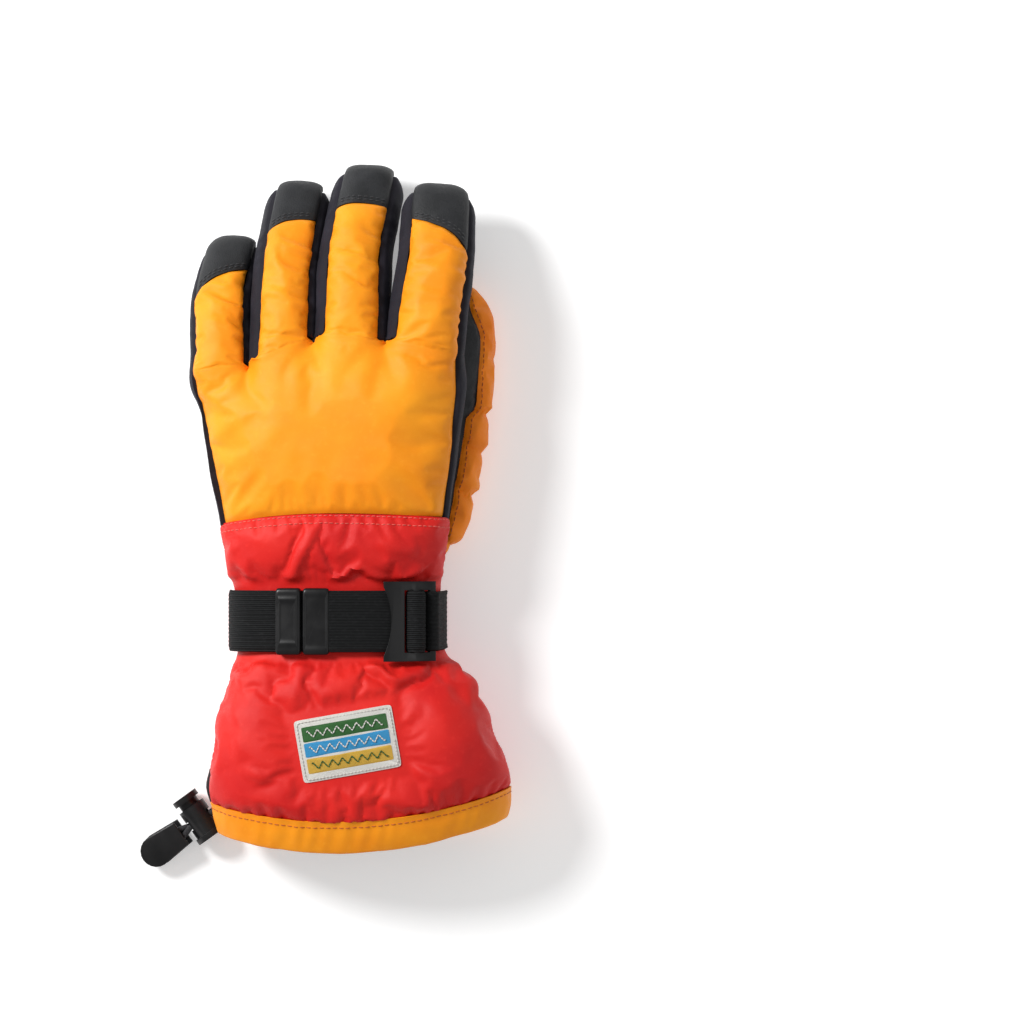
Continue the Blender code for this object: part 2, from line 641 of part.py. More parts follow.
def make_strap():
    y, half, thick = STRAP["y"], STRAP["width"] / 2, STRAP["thick"]
    edges = (y - half, y + half)
    foot = -STRAP_SHOULDER - SHOULDER_RADIUS * (math.pi / 2 - STRAP_SHOULDER / STRAP_RADIUS)
    down = [tuple(strap_at(foot, lift) - Vector((0, 0, 4)) for lift in (0, thick))]
    stations = [*spread(foot, -STRAP_SHOULDER, 4), *spread(-30, WEBBING_END, 5)]
    over = [(strap_at(place, 0), strap_at(place, thick)) for place in stations]
    band("strap_webbing", down + over, edges,
         "webbing")

    # The buckle turns about its rear bar, which the anchor webbing loops round.
    windows_end = BUCKLE_WINDOWS[1][1]
    bar_at = buckle_at((windows_end + BUCKLE["length"]) / 2, BUCKLE["thick"] / 2)
    joint = pivot("buckle_end_bar", (bar_at.x, y, bar_at.z))
    make_buckle(joint)

    # The webbing turns back round the buckle's middle bar.
    middle = (BUCKLE_WINDOWS[0][1] + BUCKLE_WINDOWS[1][0]) / 2
    fold_at = buckle_at(middle, BUCKLE["thick"] / 2)
    slope = math.degrees(buckle_turn(middle))
    band("strap_fold", loop_pairs(fold_at, slope + 195, slope + 525, 2.3, 3.3, 10), edges, "webbing", joint)

    side = Vector((39.6, 0, 0))
    rise = [tuple(side + Vector((out, 0, z)) for out in (0, 1.1)) for z in (13.5, 28)]
    loop = loop_pairs(bar_at, 100, -190, 2.2, 3.3, 10)
    band("buckle_anchor_webbing", rise + loop, (edges[0] + 0.4, edges[1] - 0.4), "webbing")

    # The free end lies on the strap and slides round the same centre.
    tail_joint = pivot("strap_tail_centre", (STRAP_CENTRE[0], y, STRAP_CENTRE[1]))
    rise = thick + 0.45
    along_band("strap_tail", strap_at, spread(*TAIL, 4), rise, rise + 1.4, edges, "webbing", tail_joint)
    moulded = (y - 14, y + 14)
    clip = along_band("strap_end_clip", strap_at, spread(*CLIP, 2), rise, rise + 2.9, moulded, "plastic",
                      tail_joint)
    pocket = along_band("clip_pocket_cutter", strap_at, (TAIL[0] - 0.4, CLIP[1] + 1), rise - 0.4, rise + 1.8,
                        (edges[0] - 0.3, edges[1] + 0.3), "plastic")
    cut(clip, pocket)
    along_band("strap_end_grip", strap_at, spread(*GRIP, 2), rise, rise + 3.6, moulded, "plastic", tail_joint)


# ---------------------------------------------------------------- patch, cord lock and pull tab


def surface_above(x, y):
    """Height of the cuff's back at a point in plan."""
    centre, wide, level, above, _ = section(y)
    share = min(0.999, abs(x - centre) / wide)
    return level + above * (1 - share**ROUNDNESS) ** (1 / ROUNDNESS)


def make_patch():
    turn = math.radians(10)
    grids = []
    for lift in (1.3, 0.6):
        grid = []
        for v in spread(-13.5, 13.5, 3):
            row = []
            for u in spread(-21, 21, 5):
                x = -1.5 + u * math.cos(turn) - v * math.sin(turn)
                y = -102 + u * math.sin(turn) + v * math.cos(turn)
                row.append(Vector((x, y, surface_above(x, y) + lift)))
            grid.append(row)
        grids.append(grid)
    sheet("cuff_patch", grids[0], grids[1], "patch")


def lock_rotation():
    """Local X runs from the lock to the pull tab, local Z along the barrel to its closed end."""
    ahead = Vector((math.cos(LOCK_TURN), math.sin(LOCK_TURN), 0))
    barrel = Vector((-ahead.y, ahead.x, 0)).normalized()
    side = barrel.cross(ahead)
    return Matrix((ahead, side, barrel)).transposed()


def make_cord_lock():
    turned = lock_rotation()
    lock = pivot("cord_lock_frame", LOCK_AT, turned)
    barrel = drum("cord_lock_barrel", 6.2, -7, 8.6, sides=24, parent=lock)
    keep(barrel, "plastic", lock, local=True)
    join_solid(barrel, drum("barrel_flange", 7.0, 6.4, 9.0, sides=24, parent=lock))
    cut(barrel, drum("barrel_bore", 4.9, -12, 7.0, sides=24, parent=lock))
    cut(barrel, box("barrel_cord_hole", (22, 7.6, 4.2), (0, 0, 0), parent=lock))

    button = drum("cord_lock_button", 4.5, -10.6, 2.7, sides=24, parent=lock)
    keep(button, "plastic", lock, local=True)
    join_solid(button, drum("button_head", 6.0, -12.4, -9.8, sides=24, parent=lock))
    cut(button, box("button_cord_hole", (22, 7.0, 6.6), (0, 0, -1.7), parent=lock))

    turns, wire = 3, 0.25
    low, high = 3.05 + wire, 6.65 - wire
    steps = turns * 12
    coil = [Vector((3.2 * math.cos(k * math.tau / 12), 3.2 * math.sin(k * math.tau / 12),
                    low + (high - low) * k / steps)) for k in range(steps + 1)]
    spring = round_bar("cord_lock_spring", coil, wire, "spring_steel", resolution=1)
    spring.parent = lock


def tab_outline(start, inset=0.0):
    """The pull tab's outline in plan: narrow where the cord enters, round at its far end."""
    near, far = (half - inset for half in TAB_HALF_WIDTH)
    near += (far - near) * start / TAB_LENGTH
    points = [(start + inset, near), (start + inset, -near)]
    for turn in spread(0, math.pi, 10):
        points.append((TAB_LENGTH + far * math.sin(turn), -far * math.cos(turn)))
    return points


def slab(name, outline, low, high, slot, parent):
    count = len(outline)
    points = [(x, y, z) for z in (low, high) for x, y in outline]
    faces = [list(range(count)), list(range(count, 2 * count))]
    faces += [[k, (k + 1) % count, count + (k + 1) % count, count + k] for k in range(count)]
    obj = solid(name, points, faces, slot)
    obj.parent = parent
    return obj


def tab_frame():
    """Local X runs down the pull tab from its cord end, which is held up."""
    ahead = Vector((math.cos(LOCK_TURN), math.sin(LOCK_TURN), 0))
    reach = TAB_NEAR + TAB_LENGTH + TAB_HALF_WIDTH[1]
    height = (reach - TAB_NEAR) * math.sin(TAB_TILT)
    place = Vector((LOCK_AT[0], LOCK_AT[1], 0)) + ahead * TAB_NEAR + Vector((0, 0, height))
    return place, Matrix.Rotation(LOCK_TURN, 3, "Z") @ Matrix.Rotation(TAB_TILT, 3, "Y")


def make_pull_tab():
    tab = pivot("pull_tab_frame", *tab_frame())
    lower = slab("pull_tab_lower", tab_outline(0), 0.5, 1.8, "plastic", tab)
    join_solid(lower, slab("tab_block", tab_outline(11.0, 0.4), 1.2, 6.2, "plastic", tab))
    post = drum("tab_post", TAB_POST_RADIUS, 1.0, 6.2, sides=12, parent=tab)
    post.data.transform(Matrix.Translation((TAB_POST * MM, 0, 0)))
    join_solid(lower, post)
    slab("pull_tab_upper", tab_outline(0, 0.2), 6.6, 8.0, "plastic", tab)


def cord_route():
    """Out of the hem, through the lock, round the pull tab's post and back to the side seam."""
    ahead = Vector((math.cos(LOCK_TURN), math.sin(LOCK_TURN), 0))
    lock = Vector((LOCK_AT[0], LOCK_AT[1], LOCK_AT[2]))
    place, turned = tab_frame()

    def at(forward, lift):
        return lock + ahead * forward + Vector((0, 0, lift))

    def in_tab(x, y, z):
        return place + turned @ Vector((x, y, z))

    apart, slot = 1.7, 4.2
    bend = TAB_POST_RADIUS + GAP + CORD_RADIUS
    bight = [in_tab(TAB_POST + bend * math.cos(turn), bend * math.sin(turn), slot + 0.3 * math.sin(turn))
             for turn in spread(-1.35, 1.35, 4)]
    inward = [CORD_EXIT, at(-6.5, -apart), at(-3, -apart), at(4, -apart), in_tab(0.8, -1.7, slot - 0.2)]
    outward = [in_tab(0.8, 1.7, slot + 0.4), at(4, apart), at(-4, apart), at(-8, apart + 0.5), CORD_BEND,
               CORD_RETURN]
    return smooth_route([*inward, *bight, *outward], 2)


def make_drawcord():
    round_bar("drawcord_loop", cord_route(), CORD_RADIUS, "cord")


def main():
    make_cuff()
    make_hem()
    make_hand()
    for name, finger in FINGERS.items():
        make_finger(name, finger)
    make_thumb()
    make_strap()
    make_patch()
    make_cord_lock()
    make_pull_tab()
    make_drawcord()


clear_scene()
parts = new_collection("ski_glove")
cutters = new_collection("cutters")
cutters.hide_render = True
main()
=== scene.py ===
"""Looks of a left-hand gauntlet ski glove that lies palm down.

Lengths are millimetres here, and MM turns them into Blender's metres. The shapes follow the frame's
driving dimensions: +Y to the fingertips, +X to the thumb side, +Z to the back of the hand.
"""

import json
import math

import bmesh
import bpy
import numpy as np
from mathutils import Matrix, Vector, noise


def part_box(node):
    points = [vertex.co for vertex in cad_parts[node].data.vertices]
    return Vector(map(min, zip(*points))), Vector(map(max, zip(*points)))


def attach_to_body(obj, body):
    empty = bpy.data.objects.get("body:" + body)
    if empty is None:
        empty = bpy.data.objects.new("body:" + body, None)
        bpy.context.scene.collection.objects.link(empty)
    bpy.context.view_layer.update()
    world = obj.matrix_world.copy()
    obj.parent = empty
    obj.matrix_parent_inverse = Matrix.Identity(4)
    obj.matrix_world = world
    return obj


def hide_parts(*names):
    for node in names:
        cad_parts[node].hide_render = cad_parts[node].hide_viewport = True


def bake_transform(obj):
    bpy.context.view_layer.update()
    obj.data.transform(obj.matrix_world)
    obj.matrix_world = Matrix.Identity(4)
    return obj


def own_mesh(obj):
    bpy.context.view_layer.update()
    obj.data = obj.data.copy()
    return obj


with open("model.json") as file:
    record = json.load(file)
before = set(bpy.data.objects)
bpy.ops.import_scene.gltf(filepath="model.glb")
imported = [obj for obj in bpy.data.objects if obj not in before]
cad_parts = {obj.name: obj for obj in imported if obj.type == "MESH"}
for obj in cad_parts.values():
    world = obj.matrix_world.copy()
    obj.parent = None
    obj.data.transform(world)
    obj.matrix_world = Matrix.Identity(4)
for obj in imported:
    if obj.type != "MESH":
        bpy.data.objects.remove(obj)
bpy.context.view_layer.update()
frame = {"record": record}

MM = 0.001
FABRIC = 0.8  # thickness of the outer fabric
LEATHER_CAP = 1.2
WEBBING = 1.1
FLOOR_GAP, FLOOR_EASE = 0.3, 1.3  # fabric that would sink below both together settles towards the gap
CLOTH_SCALE = 10  # the cloth simulation runs on an enlarged copy
CLOTH_FRAMES = 20

SENSOR = 36
SEEN_WIDTH, SEEN_FROM = 0.44, 1.57  # metres

# Cross-sections from mouth to knuckles: y, centre x, half width, centre z, height above, depth below.
SECTIONS = (
    (-146, 4.7, 62.0, 23.9, 22.0, 23.0),
    (-134, 4.0, 63.0, 25.9, 25.0, 25.0),
    (-125, 3.5, 63.2, 26.9, 26.0, 26.0),
    (-110, 2.6, 62.5, 27.0, 26.5, 26.0),
    (-91, 0.4, 58.5, 26.8, 26.0, 24.5),
    (-74, -1.2, 50.8, 26.0, 23.0, 21.0),
    (-64, -4.5, 44.0, 25.4, 20.5, 19.5),
    (-48, -5.5, 41.8, 25.0, 19.0, 18.5),
    (-33, -6.6, 43.6, 26.0, 20.0, 18.0),
    (-20, -6.8, 46.3, 29.5, 20.0, 16.5),
    (-5, -7.0, 48.5, 33.3, 18.5, 15.0),
    (16, -7.6, 52.0, 35.6, 16.5, 14.0),
    (46, -7.6, 56.4, 36.0, 15.5, 13.5),
    (75, -8.2, 59.0, 35.6, 14.5, 13.0),
)
ROUNDNESS = 2.5
ROLL_HAND, ROLL_FROM, ROLL_SPAN = 0.09, -40, 45
MOUTH_SWEEP = 10.0
MOUTH_TILT = 3.5  # the mouth reaches further down on the little-finger side
MOUTH_FROM, MOUTH_SPAN = -100, 34
WRIST_SEAM_BACK = -4.0
WRIST_SEAM_PALM = -28.0
HEM_TOP = -133.8
HEM_BOTTOM = -146.3
LINING_INSET = 4.8
PALM_STRIP_DROP = 29.5
ALLOWANCE = 2.6  # how far the black strips' fabric runs in under the back and the palm
SEAM_RADIAL = 0.98
SEAM_ULNAR = 0.985

# Each finger's base, size, length, pitch and bow; the share of its half width that its back covers on the
# little-finger side and on the thumb side; and how much its leather cap's seam slants.
FINGERS = {
    "little": dict(base=(-55.4, 60.0, 31.0), wide=(12.2, 11.2), thick=(11.5, 10.6), length=60.5, pitch=(6, 44),
                   bow=(-2.6, 0.4), cover=(0.96, 0.82), cap_slant=4.5, cap_arch=5.0, crotches=(56.0, 60.4)),
    "ring": dict(base=(-28.9, 68.0, 33.4), wide=(13.2, 12.2), thick=(12.4, 11.2), length=76.0, pitch=(5, 37),
                 bow=(-1.6, 1.2), cover=(0.83, 0.81), cap_slant=2.0, cap_arch=3.0, crotches=(60.4, 71.6)),
    "middle": dict(base=(0.3, 71.5, 35.8), wide=(14.5, 13.0), thick=(12.8, 11.6), length=79.3, pitch=(4, 37),
                   bow=(-2.2, 2.2), cover=(0.85, 0.81), cap_slant=0.0, cap_arch=1.0, crotches=(71.6, 70.7)),
    "index": dict(base=(31.6, 70.0, 38.4), wide=(15.2, 13.4), thick=(12.8, 11.6), length=70.0, pitch=(-4, 36),
                  bow=(1.2, 1.6), cover=(0.85, 0.96), cap_slant=-4.0, cap_arch=4.0, crotches=(70.7, 66.0)),
}
NAMES = tuple(FINGERS)
LEAN = math.radians(3.8)
FINGER_ROUNDNESS = 2.9
TIP_ROUNDNESS = 2.4
TIP_NARROWING = 0.32
DOME = 11.0
CAP_LENGTH = 23.0
PALM_COVER = 0.74
CROTCH_ARC = 2.4
PARTING_BEFORE, PARTING_SPAN = 17, 19

THUMB = dict(root=(38.0, 12.0), tip=(46.0, 97.5), z=11.6, wide=(15.6, 14.6), thick=(10.9, 10.4))
THUMB_BEHIND = 15.5
THUMB_HEEL = 17.0  # the thumb's fabric runs on this much further, to the wrist seam
THUMB_SEAMS = (-62.0, 68.0, 200.0)
THUMB_ROUNDNESS = 2.4

PATCH_AT = (-0.8, -99.6)
PATCH_TURN = math.radians(10)

STRAP_Y = -48.0
STRAP_WIDTH = 25.0
STRAP_CENTRE = (-5.5, -71.4)
STRAP_RADIUS = 118.0
STRAP_SHOULDER = 37.2
SHOULDER_RADIUS = 12.0

CORD_RADIUS = 1.3
LOCK_AT = (-67.0, -135.4, 7.4)
LOCK_TURN = math.atan2(-0.585, -0.81)
TAB_TILT = math.radians(10)
TAB_NEAR = 8.4
TAB_LENGTH = 14.4
TAB_HALF_WIDTH = 7.1
TAB_POST = 6.0
TAB_POST_RADIUS = 1.5
CORD_EXIT = Vector((-59.6, -128.6, 12.0))
CORD_BEND = Vector((-62.6, -121.0, 15.0))
CORD_RETURN = Vector((-60.9, -113.0, 18.0))


def add_object(name, data):
    obj = bpy.data.objects.new(name, data)
    bpy.context.scene.collection.objects.link(obj)
    return obj


def attach(obj, body, slot, *nodes):
    """Says which body the piece rides on and the CAD nodes that it stands for. Its material slot is not used.
    """
    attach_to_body(obj, body)
    stand_for(obj, slot, *nodes)


def stand_for(obj, slot, *nodes):
    if nodes:
        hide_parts(*nodes)


# ---------------------------------------------------------------- camera, light and floor


def make_camera():
    """Straight down on the place that the photograph centres on, so the glove lies left of the middle."""
    camera = bpy.data.cameras.new("camera")
    camera.sensor_width = SENSOR
    camera.lens = SENSOR * SEEN_FROM / SEEN_WIDTH
    obj = add_object("camera", camera)
    obj.location = (0.0688, -0.0015, 1.6)
    bpy.context.scene.camera = obj


def area_light(name, place, size, power):
    """A round lamp that points at the glove."""
    light = bpy.data.lights.new(name, "AREA")
    light.shape = "DISK"
    light.size = size
    light.energy = power
    obj = add_object(name, light)
    obj.location = place
    obj.rotation_euler = (-Vector(place)).to_track_quat("-Z", "Y").to_euler()


def make_studio(mats):
    area_light("key", (-0.8, 0.5, 0.8), 0.4, 17)
    area_light("fill", (0.9, -0.2, 1.1), 1.0, 2.2)
    world = bpy.data.worlds.new("studio")
    world.use_nodes = True
    tree = world.node_tree
    set_inputs(tree, tree.nodes["Background"], {"Color": (1, 1, 1, 1), "Strength": 0.42})
    bpy.context.scene.world = world
    bpy.context.scene.view_settings.view_transform = "Standard"
    bpy.ops.mesh.primitive_plane_add(size=6)
    floor = bpy.context.active_object
    floor.name = "floor"
    floor.data.materials.append(mats["floor"])


# ---------------------------------------------------------------- materials


def set_inputs(tree, node, values):
    """Sets a node's inputs, from constants or from other nodes' outputs."""
    for key, value in values.items():
        if isinstance(value, bpy.types.NodeSocket):
            tree.links.new(value, node.inputs[key])
        else:
            node.inputs[key].default_value = value


def add(tree, kind, inputs=None, **settings):
    made = tree.nodes.new("ShaderNode" + kind)
    for key, value in settings.items():
        setattr(made, key, value)
    set_inputs(tree, made, inputs or {})
    return made


def cloth_uv(tree, stretch=(1, 1, 1)):
    """The fabric's own coordinates, in metres across and along it."""
    uv = add(tree, "UVMap", uv_map="cloth")
    return add(tree, "Mapping", {"Vector": uv.outputs[0], "Scale": stretch}).outputs[0]


def body_noise(tree, *kinds):
    """Noise fixed to the piece, one output for each (scale, detail, roughness)."""
    place = add(tree, "TexCoord").outputs["Object"]
    found = []
    for scale, detail, *roughness in kinds:
        found.append(add(tree, "TexNoise", {"Vector": place, "Scale": scale, "Detail": detail,
                                            "Roughness": (roughness or [0.55])[0]}).outputs["Fac"])
    return found


def waves(tree, coordinates, direction, pitch):
    """Stripes along the fabric's U or V. They lie pi / 10 of the pitch apart, which is in metres."""
    return add(tree, "TexWave", {"Vector": coordinates, "Scale": 1 / pitch, "Distortion": 0.0},
               wave_type="BANDS", bands_direction=direction).outputs["Fac"]


def weave_of(tree, operation, one_pitch, other_pitch):
    uv = cloth_uv(tree)
    return mix_values(tree, operation, waves(tree, uv, "X", one_pitch), waves(tree, uv, "Y", other_pitch))


def blend_colours(tree, share, first, second):
    ends = {key: value if isinstance(value, bpy.types.NodeSocket) else (*value, 1)
            for key, value in ((6, first), (7, second))}
    return add(tree, "Mix", {0: share, **ends}, data_type="RGBA").outputs[2]


def remap(tree, value, low, high, to_low=0.0, to_high=1.0):
    return add(tree, "MapRange", {"Value": value, "From Min": low, "From Max": high, "To Min": to_low,
                                  "To Max": to_high}).outputs[0]


def mix_values(tree, operation, first, second):
    return add(tree, "Math", {0: first, 1: second}, operation=operation).outputs[0]


def bumps(tree, *layers):
    """Chains bump nodes: (height, strength, distance in millimetres)."""
    links = {}
    for height, strength, distance in layers:
        links.update({"Height": height, "Strength": strength, "Distance": distance * MM})
        links["Normal"] = add(tree, "Bump", links).outputs[0]
    return links["Normal"]


# Each look gives its shader's inputs.


def plain_floor(tree):
    return {"Base Color": (0.9, 0.9, 0.9, 1), "Roughness": 0.9, "Emission Color": (1, 1, 1, 1),
            "Emission Strength": 0.3}


def nylon(tree, colour, deep, light):
    """Satin-woven shell nylon: fine weave, crush marks, and paler specks spread at random."""
    broad, fine, crush = body_noise(tree, (28, 3), (420, 5), (160, 6, 0.6))
    tone = blend_colours(tree, remap(tree, broad, 0.3, 0.7), deep, colour)
    weave = weave_of(tree, "ADD", 0.00055, 0.00055)
    return {"Base Color": blend_colours(tree, remap(tree, fine, 0.55, 0.9, 0, 0.35), tone, light),
            "Normal": bumps(tree, (crush, 0.35, 0.35), (weave, 0.25, 0.05)),
            "Roughness": remap(tree, crush, 0.3, 0.7, 0.42, 0.56), "Specular IOR Level": 0.22,
            "Sheen Weight": 0.05, "Sheen Roughness": 0.4, "Sheen Tint": (*light, 1)}


def leather(tree):
    """Black full-grain goatskin: pebbled grain, stretched creases and slightly polished high spots."""
    grain = add(tree, "TexVoronoi", {"Vector": add(tree, "TexCoord").outputs["Object"], "Scale": 1150.0,
                                     "Randomness": 1.0}, feature="DISTANCE_TO_EDGE").outputs["Distance"]
    pebbles = remap(tree, grain, 0.0, 0.22)
    crease, wear = body_noise(tree, (95, 7, 0.62), (45, 4))
    tone = blend_colours(tree, remap(tree, wear, 0.35, 0.75), (0.011, 0.012, 0.013), (0.026, 0.027, 0.03))
    dark = remap(tree, pebbles, 0.0, 0.6, 0.45, 0.0)
    return {"Base Color": blend_colours(tree, dark, tone, (0.006, 0.006, 0.007)),
            "Normal": bumps(tree, (crease, 0.5, 0.5), (pebbles, 0.45, 0.12)),
            "Roughness": remap(tree, wear, 0.3, 0.75, 0.5, 0.64), "Specular IOR Level": 0.3}


def softshell(tree):
    """Matt black stretch fabric with a fine knit and a blue cast."""
    cloud, = body_noise(tree, (60, 4))
    knit = weave_of(tree, "MULTIPLY", 0.0008, 0.0006)
    return {"Base Color": blend_colours(tree, remap(tree, cloud, 0.3, 0.7), (0.006, 0.0055, 0.009),
                                        (0.018, 0.016, 0.024)),
            "Normal": bumps(tree, (cloud, 0.4, 0.5), (knit, 0.4, 0.12)),
            "Roughness": remap(tree, cloud, 0.3, 0.7, 0.62, 0.8), "Specular IOR Level": 0.2,
            "Sheen Weight": 0.08, "Sheen Roughness": 0.5, "Sheen Tint": (0.6, 0.62, 0.75, 1)}


def webbing(tree, rib):
    """Polyester webbing with ribs along it and a cross weave."""
    fluff, = body_noise(tree, (700, 3))
    uv = cloth_uv(tree)
    ribs, picks = waves(tree, uv, "X", rib), waves(tree, uv, "Y", 0.0009)
    tone = blend_colours(tree, ribs, (0.002, 0.002, 0.002), (0.017, 0.018, 0.019))
    pale = remap(tree, fluff, 0.5, 0.9, 0, 0.35)
    return {"Base Color": blend_colours(tree, pale, tone, (0.045, 0.045, 0.047)),
            "Normal": bumps(tree, (ribs, 0.8, 0.35), (picks, 0.5, 0.12), (fluff, 0.2, 0.08)),
            "Roughness": remap(tree, fluff, 0.3, 0.7, 0.6, 0.75), "Specular IOR Level": 0.12}


def moulded(tree, tone):
    """Black moulded plastic with a fine spark-eroded texture and rubbed edges."""
    grit, rub = body_noise(tree, (2600, 3), (130, 5))
    shade = blend_colours(tree, remap(tree, rub, 0.4, 0.8), (tone, tone, tone * 1.08),
                          (tone * 2, tone * 2, tone * 2.1))
    edge = remap(tree, add(tree, "NewGeometry").outputs["Pointiness"], 0.53, 0.6, 0, 0.3)
    return {"Base Color": blend_colours(tree, edge, shade, (0.06, 0.058, 0.058)),
            "Normal": bumps(tree, (rub, 0.15, 0.15), (grit, 0.3, 0.05)),
            "Roughness": remap(tree, rub, 0.3, 0.7, 0.28, 0.42), "Specular IOR Level": 0.28}


def fleece(tree, dark, pale):
    tuft, clump = body_noise(tree, (900, 6, 0.7), (180, 4))
    return {"Base Color": blend_colours(tree, remap(tree, tuft, 0.35, 0.65), dark, pale),
            "Normal": bumps(tree, (clump, 0.5, 0.6), (tuft, 0.8, 0.3)),
            "Roughness": remap(tree, tuft, 0.3, 0.7, 0.85, 1.0), "Sheen Weight": 0.4}


def braid(tree, dark, pale, pitch):
    """A round braid: two slanting sets of strands, from the position round and along it."""
    one, other = (waves(tree, cloth_uv(tree, (way, 1, 1)), "DIAGONAL", pitch) for way in (1, -1))
    strands = mix_values(tree, "MAXIMUM", one, other)
    return {"Base Color": blend_colours(tree, strands, dark, pale),
            "Normal": bumps(tree, (strands, 0.8, 0.25)), "Roughness": 0.75}


def shaded(colour, share):
    return tuple(channel * share for channel in colour)


def thread(tree, colour):
    """Twisted sewing thread."""
    ply, = body_noise(tree, (1800, 2))
    return {"Base Color": blend_colours(tree, remap(tree, ply, 0.35, 0.65), shaded(colour, 0.55), colour),
            "Normal": bumps(tree, (ply, 0.5, 0.1)), "Roughness": 0.6}


def embroidery(tree, colour):
    """Satin stitch: close parallel threads with a slight shine."""
    patchy, = body_noise(tree, (300, 3))
    rows = waves(tree, cloth_uv(tree), "DIAGONAL", 0.0005)
    darker = shaded(colour, 0.6)
    tone = blend_colours(tree, remap(tree, rows, 0.0, 0.8, 0.25, 1.0), darker, colour)
    return {"Base Color": blend_colours(tree, remap(tree, patchy, 0.5, 0.8, 0.0, 0.25), tone, darker),
            "Normal": bumps(tree, (rows, 0.7, 0.12)), "Roughness": remap(tree, patchy, 0.3, 0.7, 0.45, 0.6)}


def spring_wire(tree):
    drawn, = body_noise(tree, (1500, 4))
    return {"Base Color": blend_colours(tree, drawn, (0.45, 0.45, 0.46), (0.7, 0.7, 0.7)),
            "Roughness": remap(tree, drawn, 0.3, 0.7, 0.22, 0.36), "Normal": bumps(tree, (drawn, 0.2, 0.03)),
            "Metallic": 1.0}


LOOKS = {
    "floor": ("floor", plain_floor),
    "orange": ("orange_nylon", nylon, (0.93, 0.34, 0.01), (0.86, 0.25, 0.005), (1.0, 0.43, 0.03)),
    # Painted shade: the thumb's orange is the same nylon as the rest, made darker and redder because the thumb
    # lies in shade.
    "thumb_orange": ("thumb_orange_nylon", nylon, (0.93, 0.27, 0.006), (0.86, 0.19, 0.003),
                     (1.0, 0.36, 0.02)),
    "red": ("red_nylon", nylon, (0.7, 0.018, 0.012), (0.56, 0.009, 0.009), (0.82, 0.045, 0.03)),
    "leather": ("black_leather", leather),
    "softshell": ("black_softshell", softshell),
    "webbing": ("ribbed_webbing", webbing, 0.00185),
    "fine_webbing": ("fine_webbing", webbing, 0.0009),
    "plastic": ("moulded_plastic", moulded, 0.005),
    "fleece": ("fleece_lining", fleece, (0.012, 0.012, 0.013), (0.05, 0.05, 0.053)),
    "cord": ("braided_cord", braid, (0.006, 0.006, 0.007), (0.04, 0.04, 0.044), 0.0012),
    "steel": ("spring_wire", spring_wire),
    "orange_thread": ("orange_thread", thread, (0.62, 0.13, 0.012)),
    "pink_thread": ("pink_thread", thread, (0.88, 0.13, 0.1)),
    "black_thread": ("black_thread", thread, (0.03, 0.03, 0.033)),
    "patch_ground": ("patch_ground", embroidery, (0.93, 0.91, 0.85)),
    "patch_blue": ("patch_blue", embroidery, (0.04, 0.36, 0.72)),
    "patch_green": ("patch_green", embroidery, (0.03, 0.15, 0.03)),
    "patch_yellow": ("patch_yellow", embroidery, (0.8, 0.48, 0.06)),
}


def make_materials():
    mats = {}
    for key, (name, look, *values) in LOOKS.items():
        mats[key] = bpy.data.materials.new(name)
        mats[key].use_nodes = True
        tree = mats[key].node_tree
        set_inputs(tree, tree.nodes["Principled BSDF"], look(tree, *values))
    return mats


# ---------------------------------------------------------------- surfaces


def smooth_step(value):
    value = np.clip(value, 0, 1)
    return value * value * (3 - 2 * value)


def power(value, exponent):
    return np.sign(value) * np.abs(value) ** exponent


def arch(share, roundness):
    """Height of a rounded section at a share of its half width, both from 0 to 1."""
    return (1 - np.abs(share) ** roundness) ** (1 / roundness)


def between(ends, share):
    return ends[0] + (ends[1] - ends[0]) * share


def ramp(count):
    """Shares from 0 to 1, one for each row of a grid."""
    return np.linspace(0, 1, count)[:, None]

STATIONS = np.arange(-160.0, 90.0, 1.0)


def smoothed_sections():
    """The cross-sections at every millimetre, with the corners between them rounded off."""
    table = np.array(SECTIONS)
    reach = np.arange(-15, 16)
    kernel = np.exp(-(reach / 5.0) ** 2 / 2)
    kernel /= kernel.sum()
    found = []
    for column in table.T[1:]:
        values = np.interp(STATIONS, table[:, 0], column)
        padded = np.pad(values, 15, mode="edge")
        found.append(np.convolve(padded, kernel, mode="valid"))
    return found


SMOOTH = smoothed_sections()


def section(y):
    return [np.interp(y, STATIONS, column) for column in SMOOTH]


def hand_roll(y):
    return ROLL_HAND * np.clip((y - ROLL_FROM) / ROLL_SPAN, 0, 1)


def stack(x, y, z):
    return np.stack(np.broadcast_arrays(x, y, z), axis=-1)


def tube_point(y, angle, inset=0.0):
    """A point of the hand or cuff at an angle round its section."""
    centre, wide, level, above, below = section(y)
    across = power(np.cos(angle), 2 / ROUNDNESS)
    up = power(np.sin(angle), 2 / ROUNDNESS)
    x = (wide - inset) * across
    height = np.where(up > 0, above, below) - inset
    sweep = np.clip((MOUTH_FROM - y) / MOUTH_SPAN, 0, 1)
    shift = sweep * (MOUTH_SWEEP * across**2 + MOUTH_TILT * across)
    return stack(centre + x, y + shift, level + hand_roll(y) * x + height * up)


def even_angles(low, high, count, wide=58.0, high_side=24.0):
    """Angles round the section that are evenly spaced along its outline."""
    fine = np.linspace(low, high, 3000)
    x = wide * power(np.cos(fine), 2 / ROUNDNESS)
    z = high_side * power(np.sin(fine), 2 / ROUNDNESS)
    walked = np.concatenate([[0], np.cumsum(np.hypot(np.diff(x), np.diff(z)))])
    return np.interp(np.linspace(0, walked[-1], count), walked, fine)


